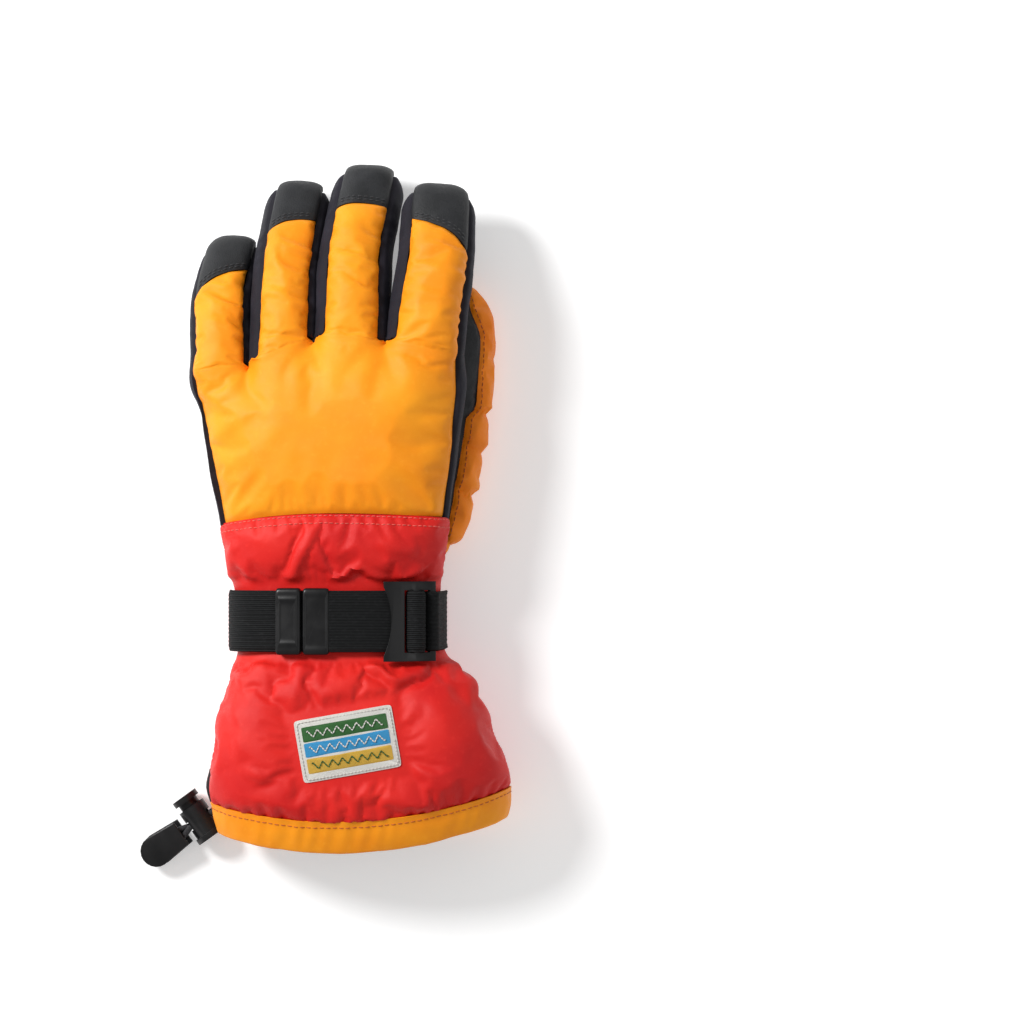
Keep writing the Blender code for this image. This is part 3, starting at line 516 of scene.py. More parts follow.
def finger_frame(finger, along):
    """Centre and up direction at a length along the finger; behind its base it runs on straight."""
    low, high = (math.radians(angle) for angle in finger["pitch"])
    bend = (high - low) / finger["length"]
    ahead_of_base = np.maximum(along, 0)
    pitch = low + bend * ahead_of_base
    behind = np.minimum(along, 0)
    ahead = (np.sin(pitch) - math.sin(low)) / bend + behind * math.cos(low)
    drop = (math.cos(low) - np.cos(pitch)) / bend + behind * math.sin(low)
    share = np.clip(along / finger["length"], 0, 1)
    bow, shift = finger["bow"]
    aside = bow * np.sin(math.pi * share) ** 2 + shift * share**2 * (3 - 2 * share)
    x, y, z = finger["base"]
    centre = stack(x + ahead * math.sin(LEAN) + aside, y + ahead * math.cos(LEAN), z - drop)
    up = stack(np.sin(pitch) * math.sin(LEAN), np.sin(pitch) * math.cos(LEAN), np.cos(pitch))
    return centre, up


ACROSS = np.array((math.cos(LEAN), -math.sin(LEAN), 0.0))


def finger_outline(finger, along, share, side):
    """A point of the finger at a share of its half width, on its back (side 1) or its palm side (-1)."""
    centre, up = finger_frame(finger, along)
    whole = np.clip(along / finger["length"], 0, 1)
    wide, thick = between(finger["wide"], whole), between(finger["thick"], whole)
    closing = np.clip((along - (finger["length"] - DOME)) / DOME, 0, 1)
    wide = wide * (1 - TIP_NARROWING * closing**3)
    thick = thick * arch(closing, TIP_ROUNDNESS)
    share = np.clip(share, -1, 1)
    height = arch(share, FINGER_ROUNDNESS)
    return centre + ACROSS * (wide * share)[..., None] + up * (thick * height * side)[..., None]


def cover_share(finger, u, along, side):
    """How far out the back reaches. It is nearly full at the crotches and narrows along the finger."""
    low, high = finger["cover"] if side > 0 else (PALM_COVER, PALM_COVER)
    far = np.where(u < 0, low, high)
    past = np.clip((along - crotch_along(finger, np.sign(u)) - 0.3) / CROTCH_ARC, 0, 1)
    near = np.where((far < 0.9) & (side > 0), 0.975, 0.95)
    share = near - (near - far) * np.sqrt(1 - (1 - past) ** 2)
    return share + (0.995 - share) * smooth_step((along - finger["length"] + 6.5) / 6.5)


def column_share(name, u):
    """Where a finger's column meets the wrist seam, as a share of the hand's half width."""
    widths = [2 * FINGERS[finger]["wide"][0] for finger in NAMES]
    number = NAMES.index(name)
    place = (sum(widths[:number]) + (u + 1) / 2 * widths[number]) / sum(widths)
    return -SEAM_ULNAR + (SEAM_ULNAR + SEAM_RADIAL) * place


def seam_dip(across):
    """On the back the wrist seam dips to both sides, further on the little-finger side."""
    return 2.0 - np.where(across < 0, 4.5, 2.0) * across**2


def seam_y(u, name, side):
    """The wrist seam's y."""
    if side < 0:
        return WRIST_SEAM_PALM + 0 * u
    return WRIST_SEAM_BACK + seam_dip(column_share(name, u))


def crotch_along(finger, u):
    """Where the finger's own panels begin, slanting from one crotch to the next."""
    return between(finger["crotches"], (u + 1) / 2) - finger["base"][1]


def parting(finger, u, along):
    """0 on the hand, 1 on the finger: how far the finger's own shape has taken over."""
    return smooth_step((along - crotch_along(finger, u) + PARTING_BEFORE) / PARTING_SPAN)


def glove_surface(name, u, along, side):
    """The back (side 1) or palm (side -1) of hand and fingers; along is counted from the finger's base."""
    finger = FINGERS[name]
    share = cover_share(finger, u, along, side)
    on_finger = finger_outline(finger, along, u * share, side)
    base_x, base_y, _ = finger["base"]
    y = base_y + np.minimum(along, 4)
    centre, wide, level, above, below = section(y)
    reach = (y - base_y) / (seam_y(u, name, side) - base_y)
    base_centre, base_wide, *_ = section(base_y)
    at_base = (base_x + u * share * finger["wide"][0] - base_centre) / base_wide
    across = np.clip(at_base + (column_share(name, u) - at_base) * reach, -0.998, 0.998)
    x = wide * across
    z = level + hand_roll(y) * x + np.where(side > 0, above, -below) * arch(across, ROUNDNESS)
    on_hand = stack(centre + x, y, z)
    return on_hand + (on_finger - on_hand) * parting(finger, u, along)[..., None]


def thumb_surface(place, angle):
    """A point of the thumb at a share of its length, at an angle round it."""
    root = np.array((*THUMB["root"], THUMB["z"]))
    tip = np.array((*THUMB["tip"], THUMB["z"]))
    reach = np.linalg.norm(tip - root)
    ahead = (tip - root) / reach
    across = np.array((ahead[1], -ahead[0], 0.0))
    low, high = -THUMB_BEHIND - THUMB_HEEL, reach
    along = low + (high - low) * place
    share = np.clip(along / reach, 0, 1)
    near = np.clip(1 - (along - low) / (34.0 + THUMB_HEEL), 0, 1)
    far = np.clip(1 - (high - along) / 24.0, 0, 1)
    closing = np.sqrt(np.maximum(1 - np.maximum(near**1.3, far) ** 2, 0))
    wide, thick = between(THUMB["wide"], share) * closing, between(THUMB["thick"], share) * closing
    bow = 2.0 * np.sin(math.pi * share)
    sideways = wide * power(np.cos(angle), 2 / THUMB_ROUNDNESS) + bow
    heel = np.clip(-along / (THUMB_BEHIND + THUMB_HEEL), 0, 1)
    lift = thick * power(np.sin(angle), 2 / THUMB_ROUNDNESS) + 9.0 * heel**1.5
    return root + ahead * along[..., None] + across * sideways[..., None] + stack(0 * along, 0 * along, lift)


# ---------------------------------------------------------------- fabric relief


def noise_at(points, scale, seed, stretch=(1, 1, 1)):
    """Smooth noise from -1 to 1 at each point, features about scale millimetres."""
    shift = Vector((seed * 17.3, seed * 5.1, seed * 9.7))
    flat = points.reshape(-1, 3) * np.array(stretch) / scale
    values = np.array([noise.noise(Vector(point) + shift) for point in flat])
    return values.reshape(points.shape[:-1])


def crumple(points, scale, seed, stretch=(1, 1, 1)):
    """Crisp ridges with soft valleys between them, as crushed nylon has."""
    sharp = 1 - np.abs(noise_at(points, scale, seed, stretch)) * 2.2
    finer = 1 - np.abs(noise_at(points, scale * 0.45, seed + 1, stretch)) * 2.2
    return 0.7 * sharp + 0.3 * finer


def puckers(run, distance, period, depth, seed, fade=5.0):
    """Gathers along a seam, from the place along it and the distance from it."""
    beat = np.array([noise.noise(Vector((value / period / 2.3, seed * 3.7, 0))) for value in run.ravel()])
    beat = beat.reshape(run.shape)
    wave = np.sin(run / period * math.tau + beat * 5.0)
    return depth * wave * (0.55 + beat) * np.exp(-distance / fade) * (1 - np.exp(-distance / 0.8))


def tuck(distance, puff, depth=1.3, spread=7.0):
    """A panel's profile beside a seam: sewn down at the edge, swelling to puff further in."""
    return puff * (1 - np.exp(-distance / spread)) - depth * np.exp(-(distance / 1.1) ** 2)


def segment_distance(x, y, start, end):
    """Distance to a line, and the share of its length, for points in plan."""
    (x0, y0), (x1, y1) = start, end
    length = math.hypot(x1 - x0, y1 - y0)
    share = ((x - x0) * (x1 - x0) + (y - y0) * (y1 - y0)) / length**2
    aside = ((x - x0) * (y1 - y0) - (y - y0) * (x1 - x0)) / length
    return aside, share


def creases(points, lines):
    """Soft folds: (start, end, height, width), each fading to both its ends."""
    x, y = points[..., 0], points[..., 1]
    total = np.zeros_like(x)
    for start, end, height, width in lines:
        aside, share = segment_distance(x, y, start, end)
        along = smooth_step(np.minimum((share + 0.25) / 0.45, (1.25 - share) / 0.45))
        total += height * np.exp(-(aside / width) ** 2) * along
        total -= 0.55 * height * np.exp(-((aside - 1.7 * width) / width) ** 2) * along
    return total


# ---------------------------------------------------------------- panels


def grid_normals(points, ring=False):
    if ring:
        run = np.roll(points, -1, axis=1) - np.roll(points, 1, axis=1)
    else:
        run = np.gradient(points, axis=1)
    rise = np.gradient(points, axis=0)
    normal = np.cross(run, rise)
    length = np.linalg.norm(normal, axis=-1, keepdims=True)
    return normal / np.maximum(length, 1e-9)


def walked(points, axis):
    """Length walked along the grid's middle line, in millimetres, for every point."""
    steps = np.linalg.norm(np.diff(points, axis=axis), axis=-1)
    total = np.cumsum(steps, axis=axis)
    pad = [(0, 0), (0, 0)]
    pad[axis] = (1, 0)
    return np.pad(total, pad)


def grid_faces(rows, columns, ring=False):
    """Quads between neighbouring points, row by row. A ring's last column joins its first."""
    here = np.arange((rows - 1) * columns).reshape(rows - 1, columns)
    there = here - here[:, :1] + 1
    there = here[:, :1] + there % columns
    quads = np.stack([here, there, there + columns, here + columns], axis=-1)
    return (quads if ring else quads[:, :-1]).reshape(-1, 4).tolist()


def mesh_object(name, points, faces, *materials):
    """A smooth mesh object from points in millimetres."""
    mesh = bpy.data.meshes.new(name)
    mesh.from_pydata((np.reshape(points, (-1, 3)) * MM).tolist(), [], faces)
    mesh.shade_smooth()
    for material in materials:
        mesh.materials.append(material)
    return add_object(name, mesh)


def grid_mesh(name, points, material, ring=False, thickness=FABRIC):
    """A fabric piece from a grid of points, rows along it and columns across, with UVs in metres."""
    rows, columns = points.shape[:2]
    points = points.copy()
    low = points[..., 2] < FLOOR_GAP + FLOOR_EASE
    points[low, 2] = FLOOR_GAP + FLOOR_EASE * np.exp((points[low, 2] - (FLOOR_GAP + FLOOR_EASE)) / FLOOR_EASE)
    faces = grid_faces(rows, columns, ring)
    obj = mesh_object(name, points, faces, material)
    across, along = walked(points, 1), walked(points, 0)
    flat = np.stack([across, along], axis=-1).reshape(-1, 2) * MM
    uv = flat[np.array(faces)]
    if ring:
        wrapped = uv[:, 1, 0] < uv[:, 0, 0]
        uv[wrapped, 1:3, 0] = (across[:, -1] * MM).max() * (1 + 1 / columns)
    obj.data.uv_layers.new(name="cloth").data.foreach_set("uv", uv.ravel())
    if thickness:
        shell = obj.modifiers.new("thickness", "SOLIDIFY")
        shell.thickness = thickness * MM
        shell.offset = -1
        apply_modifiers(obj)
        obj.data.set_sharp_from_angle(angle=math.radians(48))
    return obj


def weld(mesh, reach=0.03):
    """Joins points closer than reach, in millimetres, which removes faces without area."""
    work = bmesh.new()
    work.from_mesh(mesh)
    bmesh.ops.remove_doubles(work, verts=work.verts, dist=reach * MM)
    work.to_mesh(mesh)
    work.free()


def apply_modifiers(obj):
    """Fixes the modifiers' result in the mesh."""
    depsgraph = bpy.context.evaluated_depsgraph_get()
    mesh = bpy.data.meshes.new_from_object(obj.evaluated_get(depsgraph))
    obj.modifiers.clear()
    obj.data = mesh


def turned_outward(points, normals):
    """1 where the normals point away from the grid's middle, else -1."""
    return -1 if np.sum((points - points.reshape(-1, 3).mean(axis=0)) * normals) < 0 else 1


def raise_points(points, height):
    """Moves each point outward by its height, and turns the grid so that its faces look outward."""
    normals = grid_normals(points)
    if turned_outward(points, normals) < 0:
        points, height, normals = points[:, ::-1], height[:, ::-1], -normals[:, ::-1]
    return points + normals * height[..., None]


def raise_ring(points, height, row, inward=False):
    """The same for a ring, from the way that one row's faces look. Gives the points and their normals."""
    normals = grid_normals(points, ring=True)
    facing = np.sum((points[row] - points[row].mean(axis=0)) * normals[row])
    if (facing > 0) if inward else (facing < 0):
        points, height, normals = points[:, ::-1], height[:, ::-1], -normals[:, ::-1]
    return points + normals * height[..., None], normals


def simulated(points, held, growth, pressure=1.5, bending=0.4, cap=3.0):
    """The panel as slightly oversized cloth, sewn down where it is held, settled into its own folds."""
    work = mesh_object("cloth_work", points * CLOTH_SCALE, grid_faces(*points.shape[:2]))
    group = work.vertex_groups.new(name="held")
    for index, weight in enumerate(held.ravel()):
        if weight > 0.01:
            group.add([index], float(weight), "REPLACE")
    cloth = work.modifiers.new("cloth", "CLOTH")
    wanted = dict(quality=6, mass=0.25, tension_stiffness=12, compression_stiffness=12, shear_stiffness=4,
                  bending_stiffness=bending, tension_damping=6, vertex_group_mass="held", shrink_min=-growth,
                  use_pressure=pressure > 0, uniform_pressure_force=pressure)
    for key, value in wanted.items():
        setattr(cloth.settings, key, value)
    cloth.settings.effector_weights.gravity = 0
    cloth.collision_settings.use_collision = False
    for frame_number in range(1, CLOTH_FRAMES + 1):
        bpy.context.scene.frame_set(frame_number)
    settled = work.evaluated_get(bpy.context.evaluated_depsgraph_get())
    found = np.zeros(points.size)
    settled.data.vertices.foreach_get("co", found)
    bpy.data.objects.remove(work, do_unlink=True)
    bpy.context.scene.frame_set(1)
    move = found.reshape(points.shape) / (CLOTH_SCALE * MM) - points
    length = np.linalg.norm(move, axis=-1, keepdims=True)
    return points + move * np.minimum(1, cap / np.maximum(length, 1e-9)) * (1 - held[..., None])


def edge_distances(points):
    """Distances along the grid to its nearer side, its first and last column, and its first and last row."""
    across, along = walked(points, 1), walked(points, 0)
    left, right = across, across[:, -1:] - across
    return np.minimum(left, right), left, right, along, along[-1:, :] - along


def held_edges(points, reach=2.0):
    """1 on the sewn borders, falling to 0 over a short reach."""
    return 1 - smooth_step(np.minimum.reduce(edge_distances(points)) / reach)


STITCH_SIDES = 5
STITCH = ((0.0, -0.35, 0.5), (0.18, 0.0, 0.95), (0.5, 0.1, 1.0), (0.82, 0.0, 0.95), (1.0, -0.35, 0.5))


def dashes(name, route, normals, material, pitch=2.6, length=1.9, radius=0.24, lift=0.1):
    """A row of stitches along a route of points, each a short bowed thread that dips in at both ends."""
    run = np.concatenate([[0], np.cumsum(np.linalg.norm(np.diff(route, axis=0), axis=1))])

    def along(values, place):
        return np.array([np.interp(place, run, values[:, axis]) for axis in range(3)])

    points, faces = [], []
    one_stitch = grid_faces(len(STITCH), STITCH_SIDES, ring=True)
    for start in np.arange(0.4, run[-1] - length, pitch):
        first = len(points)
        for share, rise, wide in STITCH:
            place = start + share * length
            centre = along(route, place)
            ahead = along(route, place + 0.3) - centre
            up = along(normals, place)
            up /= np.linalg.norm(up)
            side = np.cross(ahead, up)
            side /= max(np.linalg.norm(side), 1e-9)
            centre = centre + up * (lift + rise * radius * 2)
            centre[2] = max(centre[2], radius + 0.05)
            for k in range(STITCH_SIDES):
                turn = k / STITCH_SIDES * math.tau
                points.append(centre + (side * math.cos(turn) + up * math.sin(turn)) * radius * wide)
        faces += [[first + corner for corner in face] for face in one_stitch]
        faces.append([first + k for k in reversed(range(STITCH_SIDES))])
        faces.append([len(points) - STITCH_SIDES + k for k in range(STITCH_SIDES)])
    return mesh_object(name, points, faces, material)


def stitches_on(name, points, where, material, **sizes):
    """Stitches that follow part of one row or column of a panel's grid."""
    normals = grid_normals(points)
    normals = normals * turned_outward(points, normals)
    return dashes(name, points[where], normals[where], material, **sizes)


def bend_with(obj, name):
    """Fixes the piece's transform in its mesh."""
    finger = FINGERS[name]
    base = Vector(finger["base"])
    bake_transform(obj)


# ---------------------------------------------------------------- the hand's back and palm


CROTCHES = ((-42.6, 60.4), (-14.5, 71.6), (16.0, 70.7))
HAND_FOLDS = (
    ((-42.4, 59.0), (-55.0, 46.0), 0.9, 2.4),
    ((-41.0, 57.0), (-32.0, 40.0), 0.7, 2.6),
    ((-14.5, 70.0), (-23.0, 55.0), 0.9, 2.4),
    ((-14.0, 70.0), (-5.0, 54.0), 0.8, 2.4),
    ((15.0, 69.0), (0.0, 50.0), 1.0, 2.6),
    ((16.0, 69.0), (28.5, 56.0), 0.9, 2.4),
    ((-57.0, 30.0), (-36.0, 49.0), 0.8, 3.2),
    ((-16.0, 24.0), (-8.0, 2.0), 0.9, 3.0),
    ((18.0, 66.0), (31.0, 45.0), 1.0, 2.6),
    ((30.0, 46.0), (42.0, 27.0), 1.1, 2.6),
    ((14.0, 27.0), (34.0, 12.0), 0.9, 3.6),
    ((26.0, 18.0), (37.0, 0.0), 0.9, 3.2),
    ((20.0, 42.0), (38.0, 33.0), 0.6, 3.0),
    ((-47.0, 12.0), (-38.0, -2.0), 0.6, 3.0),
    ((-28.0, 36.0), (-40.0, 22.0), 0.5, 4.0),
)


def hand_grid(side, rows, columns):
    """The hand's back or palm: each finger has its own columns, and they meet at the crotches."""
    parts = []
    for name in NAMES:
        u = np.linspace(-1, 1, columns)
        low = seam_y(u, name, side) - FINGERS[name]["base"][1]
        high = crotch_along(FINGERS[name], u)
        parts.append(glove_surface(name, u[None, :], low + (high - low) * ramp(rows), side))
    return np.concatenate(parts, axis=1)


def sewn_sides(left, right, left_sewn, right_sewn, puff=1.4):
    """A panel's swelling between two side seams, each of which may fade out."""
    height = puff * (1 - left_sewn * np.exp(-left / 7)) * (1 - right_sewn * np.exp(-right / 7))
    return height - 1.3 * (left_sewn * np.exp(-(left / 1.1) ** 2) + right_sewn * np.exp(-(right / 1.1) ** 2))


def back_relief(points):
    """The folds that run over the knuckles without a break."""
    height = creases(points, HAND_FOLDS) + 0.9 * noise_at(points, 26, 3)
    for (x, y) in CROTCHES:
        away = np.hypot(points[..., 0] - x, (points[..., 1] - y) * 0.7)
        height -= 1.5 * np.exp(-(away / 3.6) ** 2) * smooth_step((y + 3 - points[..., 1]) / 3)
    return height + 0.35 * crumple(points, 17, 5, (1, 0.7, 1))


def softened(points, share, rounds=12):
    """The same grid with its sharp valleys rounded across the columns."""
    for _ in range(rounds):
        average = 0.5 * (points[:, :-2] + points[:, 2:])
        points[:, 1:-1] += 0.5 * share[:, 1:-1, None] * (average - points[:, 1:-1])
    return points


def make_hand_back(mats):
    points = hand_grid(1, 72, 24)
    sides, left, right, low, high = edge_distances(points)
    height = sewn_sides(left, right, 1, 1) + back_relief(points)
    height += tuck(low, 0.6, spread=4.0) * (1 - np.exp(-sides / 3))
    height += puckers(points[..., 1], sides, 7.0, 0.3, 2)
    height += puckers(points[..., 0], low, 6.0, 0.2, 4, 3.0)
    raised = softened(raise_points(points, height), smooth_step(high / 5) * smooth_step(sides / 4))
    raised = simulated(raised, held_edges(raised, 4.0), 0.018, bending=2.0)
    obj = grid_mesh("hand_back", raised, mats["orange"])
    attach(obj, "hand", "orange_nylon", "hand_back_panel", "hand_padding")


def make_palm(mats):
    points = hand_grid(-1, 56, 20)
    sides, _, _, low, _ = edge_distances(points)
    height = tuck(sides, 0.7, 0.9) + tuck(low, 0.4, 0.6)
    height += 0.8 * noise_at(points, 30, 13) + 0.4 * crumple(points, 15, 15)
    height += creases(points, (((-40, 30), (20, 38), 0.7, 2.5), ((-36, 12), (8, 26), 0.7, 2.8)))
    obj = grid_mesh("palm", raise_points(points, height), mats["leather"])
    attach(obj, "hand", "black_leather", "palm_panel")


def wall_surface(name, edge, q, along):
    """The side of a finger or the hand's edge, from its back's seam (q 0) down to its palm's (q 1)."""
    finger = FINGERS[name]
    u = np.full_like(along, float(edge))
    top = glove_surface(name, u, along, 1)
    bottom = glove_surface(name, u, along, -1)
    angle = np.full_like(along, 0.0 if edge > 0 else math.pi)
    hand_side = tube_point(np.minimum(finger["base"][1] + along, 60), angle)
    on_hand = np.abs(hand_side[..., 0] - top[..., 0])
    share = 0.5 * (cover_share(finger, u, along, 1) + cover_share(finger, u, along, -1))
    closing = np.clip((along - (finger["length"] - DOME)) / DOME, 0, 1)
    on_finger = finger["wide"][0] * (1 - share) * (1 - 0.6 * closing**2) + 1.6 * (1 - closing)
    bulge = on_hand + (on_finger - on_hand) * parting(finger, u, along)
    lift = np.sin(math.pi * q) ** 0.7
    return top + (bottom - top) * q[..., None] + ACROSS * (edge * bulge * lift)[..., None]


def make_hand_wall(mats, name, edge, cad_node):
    finger = FINGERS[name]
    end = crotch_along(finger, edge)
    q = np.linspace(0, 1, 22)[None, :]
    top = WRIST_SEAM_BACK + float(seam_dip(edge)) - 0.5
    start = top - (PALM_STRIP_DROP + top) * smooth_step((q - 0.3) / 0.2) - finger["base"][1]
    points = wall_surface(name, edge, q, start + (end - start) * ramp(80))
    sides = edge_distances(points)[0]
    raised = raise_points(points, tuck(sides, 0.5, 0.8, 4.0) + 0.5 * noise_at(points, 16, 21))
    under_back, under_palm = (np.array((0, 0, sink)) - edge * ALLOWANCE * ACROSS for sink in (-1.0, 0.8))
    raised = np.concatenate([raised[:, :1] + under_back, raised, raised[:, -1:] + under_palm], axis=1)
    obj = grid_mesh("hand_wall_" + name, raised, mats["softshell"])
    attach(obj, "hand", "black_softshell", cad_node)


# ---------------------------------------------------------------- fingers


def cap_along(finger, u):
    lower = np.abs(u) ** 2.5 * (0.5 - 0.5 * u * np.sign(finger["cap_slant"] or 1)) * 1.4
    return finger["length"] - CAP_LENGTH + finger["cap_slant"] * u - finger["cap_arch"] * lower


def tongue_creases(points, finger, seed):
    """Short folds that climb from the thumb-side seam across the back of a finger."""
    lines = []
    for k, along in enumerate((0.24, 0.4, 0.55)):
        start, _ = finger_frame(finger, np.array(finger["length"] * along))
        right, left = finger["wide"][0] * 0.8, finger["wide"][0] * (0.2 + 0.15 * ((seed + k) % 3))
        rise = 4.0 + (seed // 10 + k) % 3
        lines.append(((start[0] + right, start[1]), (start[0] - left, start[1] + rise), 0.75, 1.9))
    return creases(points, lines)


def make_finger_back(mats, name, seed):
    finger = FINGERS[name]
    u = np.linspace(-1, 1, 26)[None, :]
    low, high = crotch_along(finger, u), cap_along(finger, u)
    along = low + (high - low) * ramp(72) ** 1.5
    points = glove_surface(name, u, along, 1)
    sides, left, right, first, last = edge_distances(points)
    fade = smooth_step(first / 9)
    sewn = smooth_step(first / 4)
    height = sewn_sides(left, right, 1 if name == "little" else sewn, 1 if name == "index" else sewn)
    height += tuck(last, 0.5, 0.9, 5.0) * (1 - np.exp(-sides / 3))
    height += (0.5 * noise_at(points, 15, seed) + 0.5 * crumple(points, 11, seed + 3, (0.75, 1.15, 1))) * fade
    height += back_relief(points) * (1 - fade)
    height += tongue_creases(points, finger, seed) * fade
    height += puckers(along, left, 6.5, 0.3, seed) * fade + puckers(along, right, 5.0, 0.7, seed + 1) * fade
    raised = raise_points(points, height)
    raised = simulated(raised, held_edges(raised), 0.03, bending=1.0, cap=2.0)
    obj = grid_mesh(name + "_back_skin", raised, mats["orange"])
    bend_with(obj, name)
    stand_for(obj, "orange_nylon", name + "_back", name + "_padding")


def make_finger_wall(mats, name, edge, seed):
    finger = FINGERS[name]
    end = finger["length"] * 0.99
    outer = (name, edge) in (("little", -1), ("index", 1))
    start = crotch_along(finger, edge) - (0.0 if outer else 2.0)
    q = np.linspace(0, 1, 20)[None, :]
    along = start + (end - start) * ramp(80) ** 1.25 + 0 * q
    points = wall_surface(name, edge, q, along)
    sides = edge_distances(points)[0]
    height = tuck(sides, 0.5, 0.8, 4.0) + 0.4 * noise_at(points, 12, seed)
    height += puckers(along, sides, 6.0, 0.3, seed)
    label = "radial" if edge > 0 else "ulnar"
    obj = grid_mesh(f"{name}_{label}_skin", raise_points(points, height), mats["softshell"])
    bend_with(obj, name)
    stand_for(obj, "black_softshell", f"{name}_{label}_wall")


def cap_points(finger, name, rows, columns):
    """The leather cap, from its seam on the back, over the tip and back to the palm side's seam."""
    u = np.linspace(-1, 1, columns)[None, :]
    start = cap_along(finger, u)
    over, under = (glove_surface(name, u, start + (finger["length"] - start) * ease, side)
                   for side, ease in ((1, np.sin(ramp(rows) * math.pi / 2) ** 0.9),
                                      (-1, np.sin((1 - ramp(rows)) * math.pi / 2) ** 0.9)))
    return np.concatenate([over, under[1:]], axis=0)


def nearest(values, wanted):
    return int(np.argmin(np.abs(values - wanted)))


def make_cap(mats, name, seed):
    points = cap_points(FINGERS[name], name, 34, 26)
    sides, _, _, first, last = edge_distances(points)
    height = tuck(sides, 0.9, 1.0, 4.0) + (tuck(first, 0.5, 0.2, 3.0) + tuck(last, 0.5, 0.2, 3.0)) * 0.6
    height += 0.45 * noise_at(points, 11, seed) + 0.25 * crumple(points, 9, seed + 5)
    raised = raise_points(points, height)
    obj = grid_mesh(name + "_cap_skin", raised, mats["leather"], thickness=LEATHER_CAP)
    attach(obj, name + "_finger", "black_leather", name + "_tip_cap")
    distance = walked(raised, 0)[:, 13]
    for k, gap in enumerate((1.3, 3.6)):
        where = np.s_[nearest(distance, gap), 2:-2]
        stitches = stitches_on(f"{name}_cap_stitches_{k}", raised, where, mats["black_thread"])
        attach(stitches, name + "_finger", "cord")


def make_finger_palm(mats, name, seed):
    finger = FINGERS[name]
    u = np.linspace(-1, 1, 22)[None, :]
    low, high = crotch_along(finger, u), cap_along(finger, u)
    points = glove_surface(name, u, low + (high - low) * ramp(50), -1)
    height = tuck(edge_distances(points)[0], 0.8, 0.9, 4.0) + 0.4 * noise_at(points, 13, seed)
    height += 0.35 * crumple(points, 10, seed + 2, (0.5, 1.2, 1))
    obj = grid_mesh(name + "_palm_skin", raise_points(points, height), mats["leather"])
    bend_with(obj, name)
    stand_for(obj, "black_leather", name + "_palm_side")


# ---------------------------------------------------------------- thumb


THUMB_FOLDS = (
    ((66.0, 37.5), (42.0, 46.0), -1.3, 2.2),
    ((62.0, 21.5), (38.0, 31.0), -1.4, 2.2),
    ((57.0, 3.0), (36.0, 13.0), -1.4, 2.4),
    ((50.0, -20.0), (32.0, -11.0), -1.2, 2.4),
)


def turn_with_thumb(obj):
    """Fixes the piece's transform in its mesh."""
    root = Vector((*THUMB["root"], THUMB["z"]))
    ahead = (Vector((*THUMB["tip"], THUMB["z"])) - root).normalized()
    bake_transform(obj)


def make_thumb(mats):
    under, over, inner = (math.radians(angle) for angle in THUMB_SEAMS)
    # The thumb's orange panels take the orange with painted shade, darker and redder than the rest.
    panels = (
        ("thumb_side_skin", under, over, "thumb_orange", "orange_nylon", ("thumb_side_panel",)),
        ("thumb_leather_skin", over, inner, "leather", "black_leather", ("thumb_leather",)),
        ("thumb_back_skin", inner, math.tau + under, "thumb_orange", "orange_nylon",
         ("thumb_back_panel", "thumb_padding")),
    )
    place = (1 - np.cos(np.linspace(0.03, math.pi - 0.03, 90))) / 2
    # The orange runs on into the leather's edge over this part of the thumb.
    window = math.radians(17) * smooth_step((place - 0.515) / 0.025) * smooth_step((0.92 - place) / 0.12)
    for seed, (label, low, high, look, slot, nodes) in enumerate(panels):
        low_edge = low - (window if label == "thumb_leather_skin" else 0 * place)
        high_edge = high - (window if label == "thumb_side_skin" else 0 * place)
        share = np.linspace(0, 1, 40)[None, :]
        angle = low_edge[:, None] + (high_edge - low_edge)[:, None] * share
        points = thumb_surface(place[:, None] + 0 * angle, angle)
        sides, _, _, first, last = edge_distances(points)
        relief = 1.0 if look == "thumb_orange" else 0.5
        height = tuck(sides, 1.0, 0.9, 5.0) + 0.7 * noise_at(points, 17, 31 + seed)
        height += relief * (0.6 * crumple(points, 12, 35 + seed, (1, 0.8, 1)) + creases(points, THUMB_FOLDS))
        height += relief * puckers(points[..., 1], sides, 6.0, 0.5, 33 + seed)
        height *= smooth_step(np.minimum(first, last) / 5)
        raised = raise_points(points, height)
        raised = simulated(raised, held_edges(raised), 0.03, cap=2.0)
        obj = grid_mesh(label, raised, mats[look])
        turn_with_thumb(obj)
        stand_for(obj, slot, *nodes)
        if label == "thumb_side_skin":
            stitches = stitches_on("thumb_seam_stitches", raised, np.s_[6:-6, 3], mats["orange_thread"])
            turn_with_thumb(stitches)
            stand_for(stitches, "orange_nylon")


# ---------------------------------------------------------------- cuff


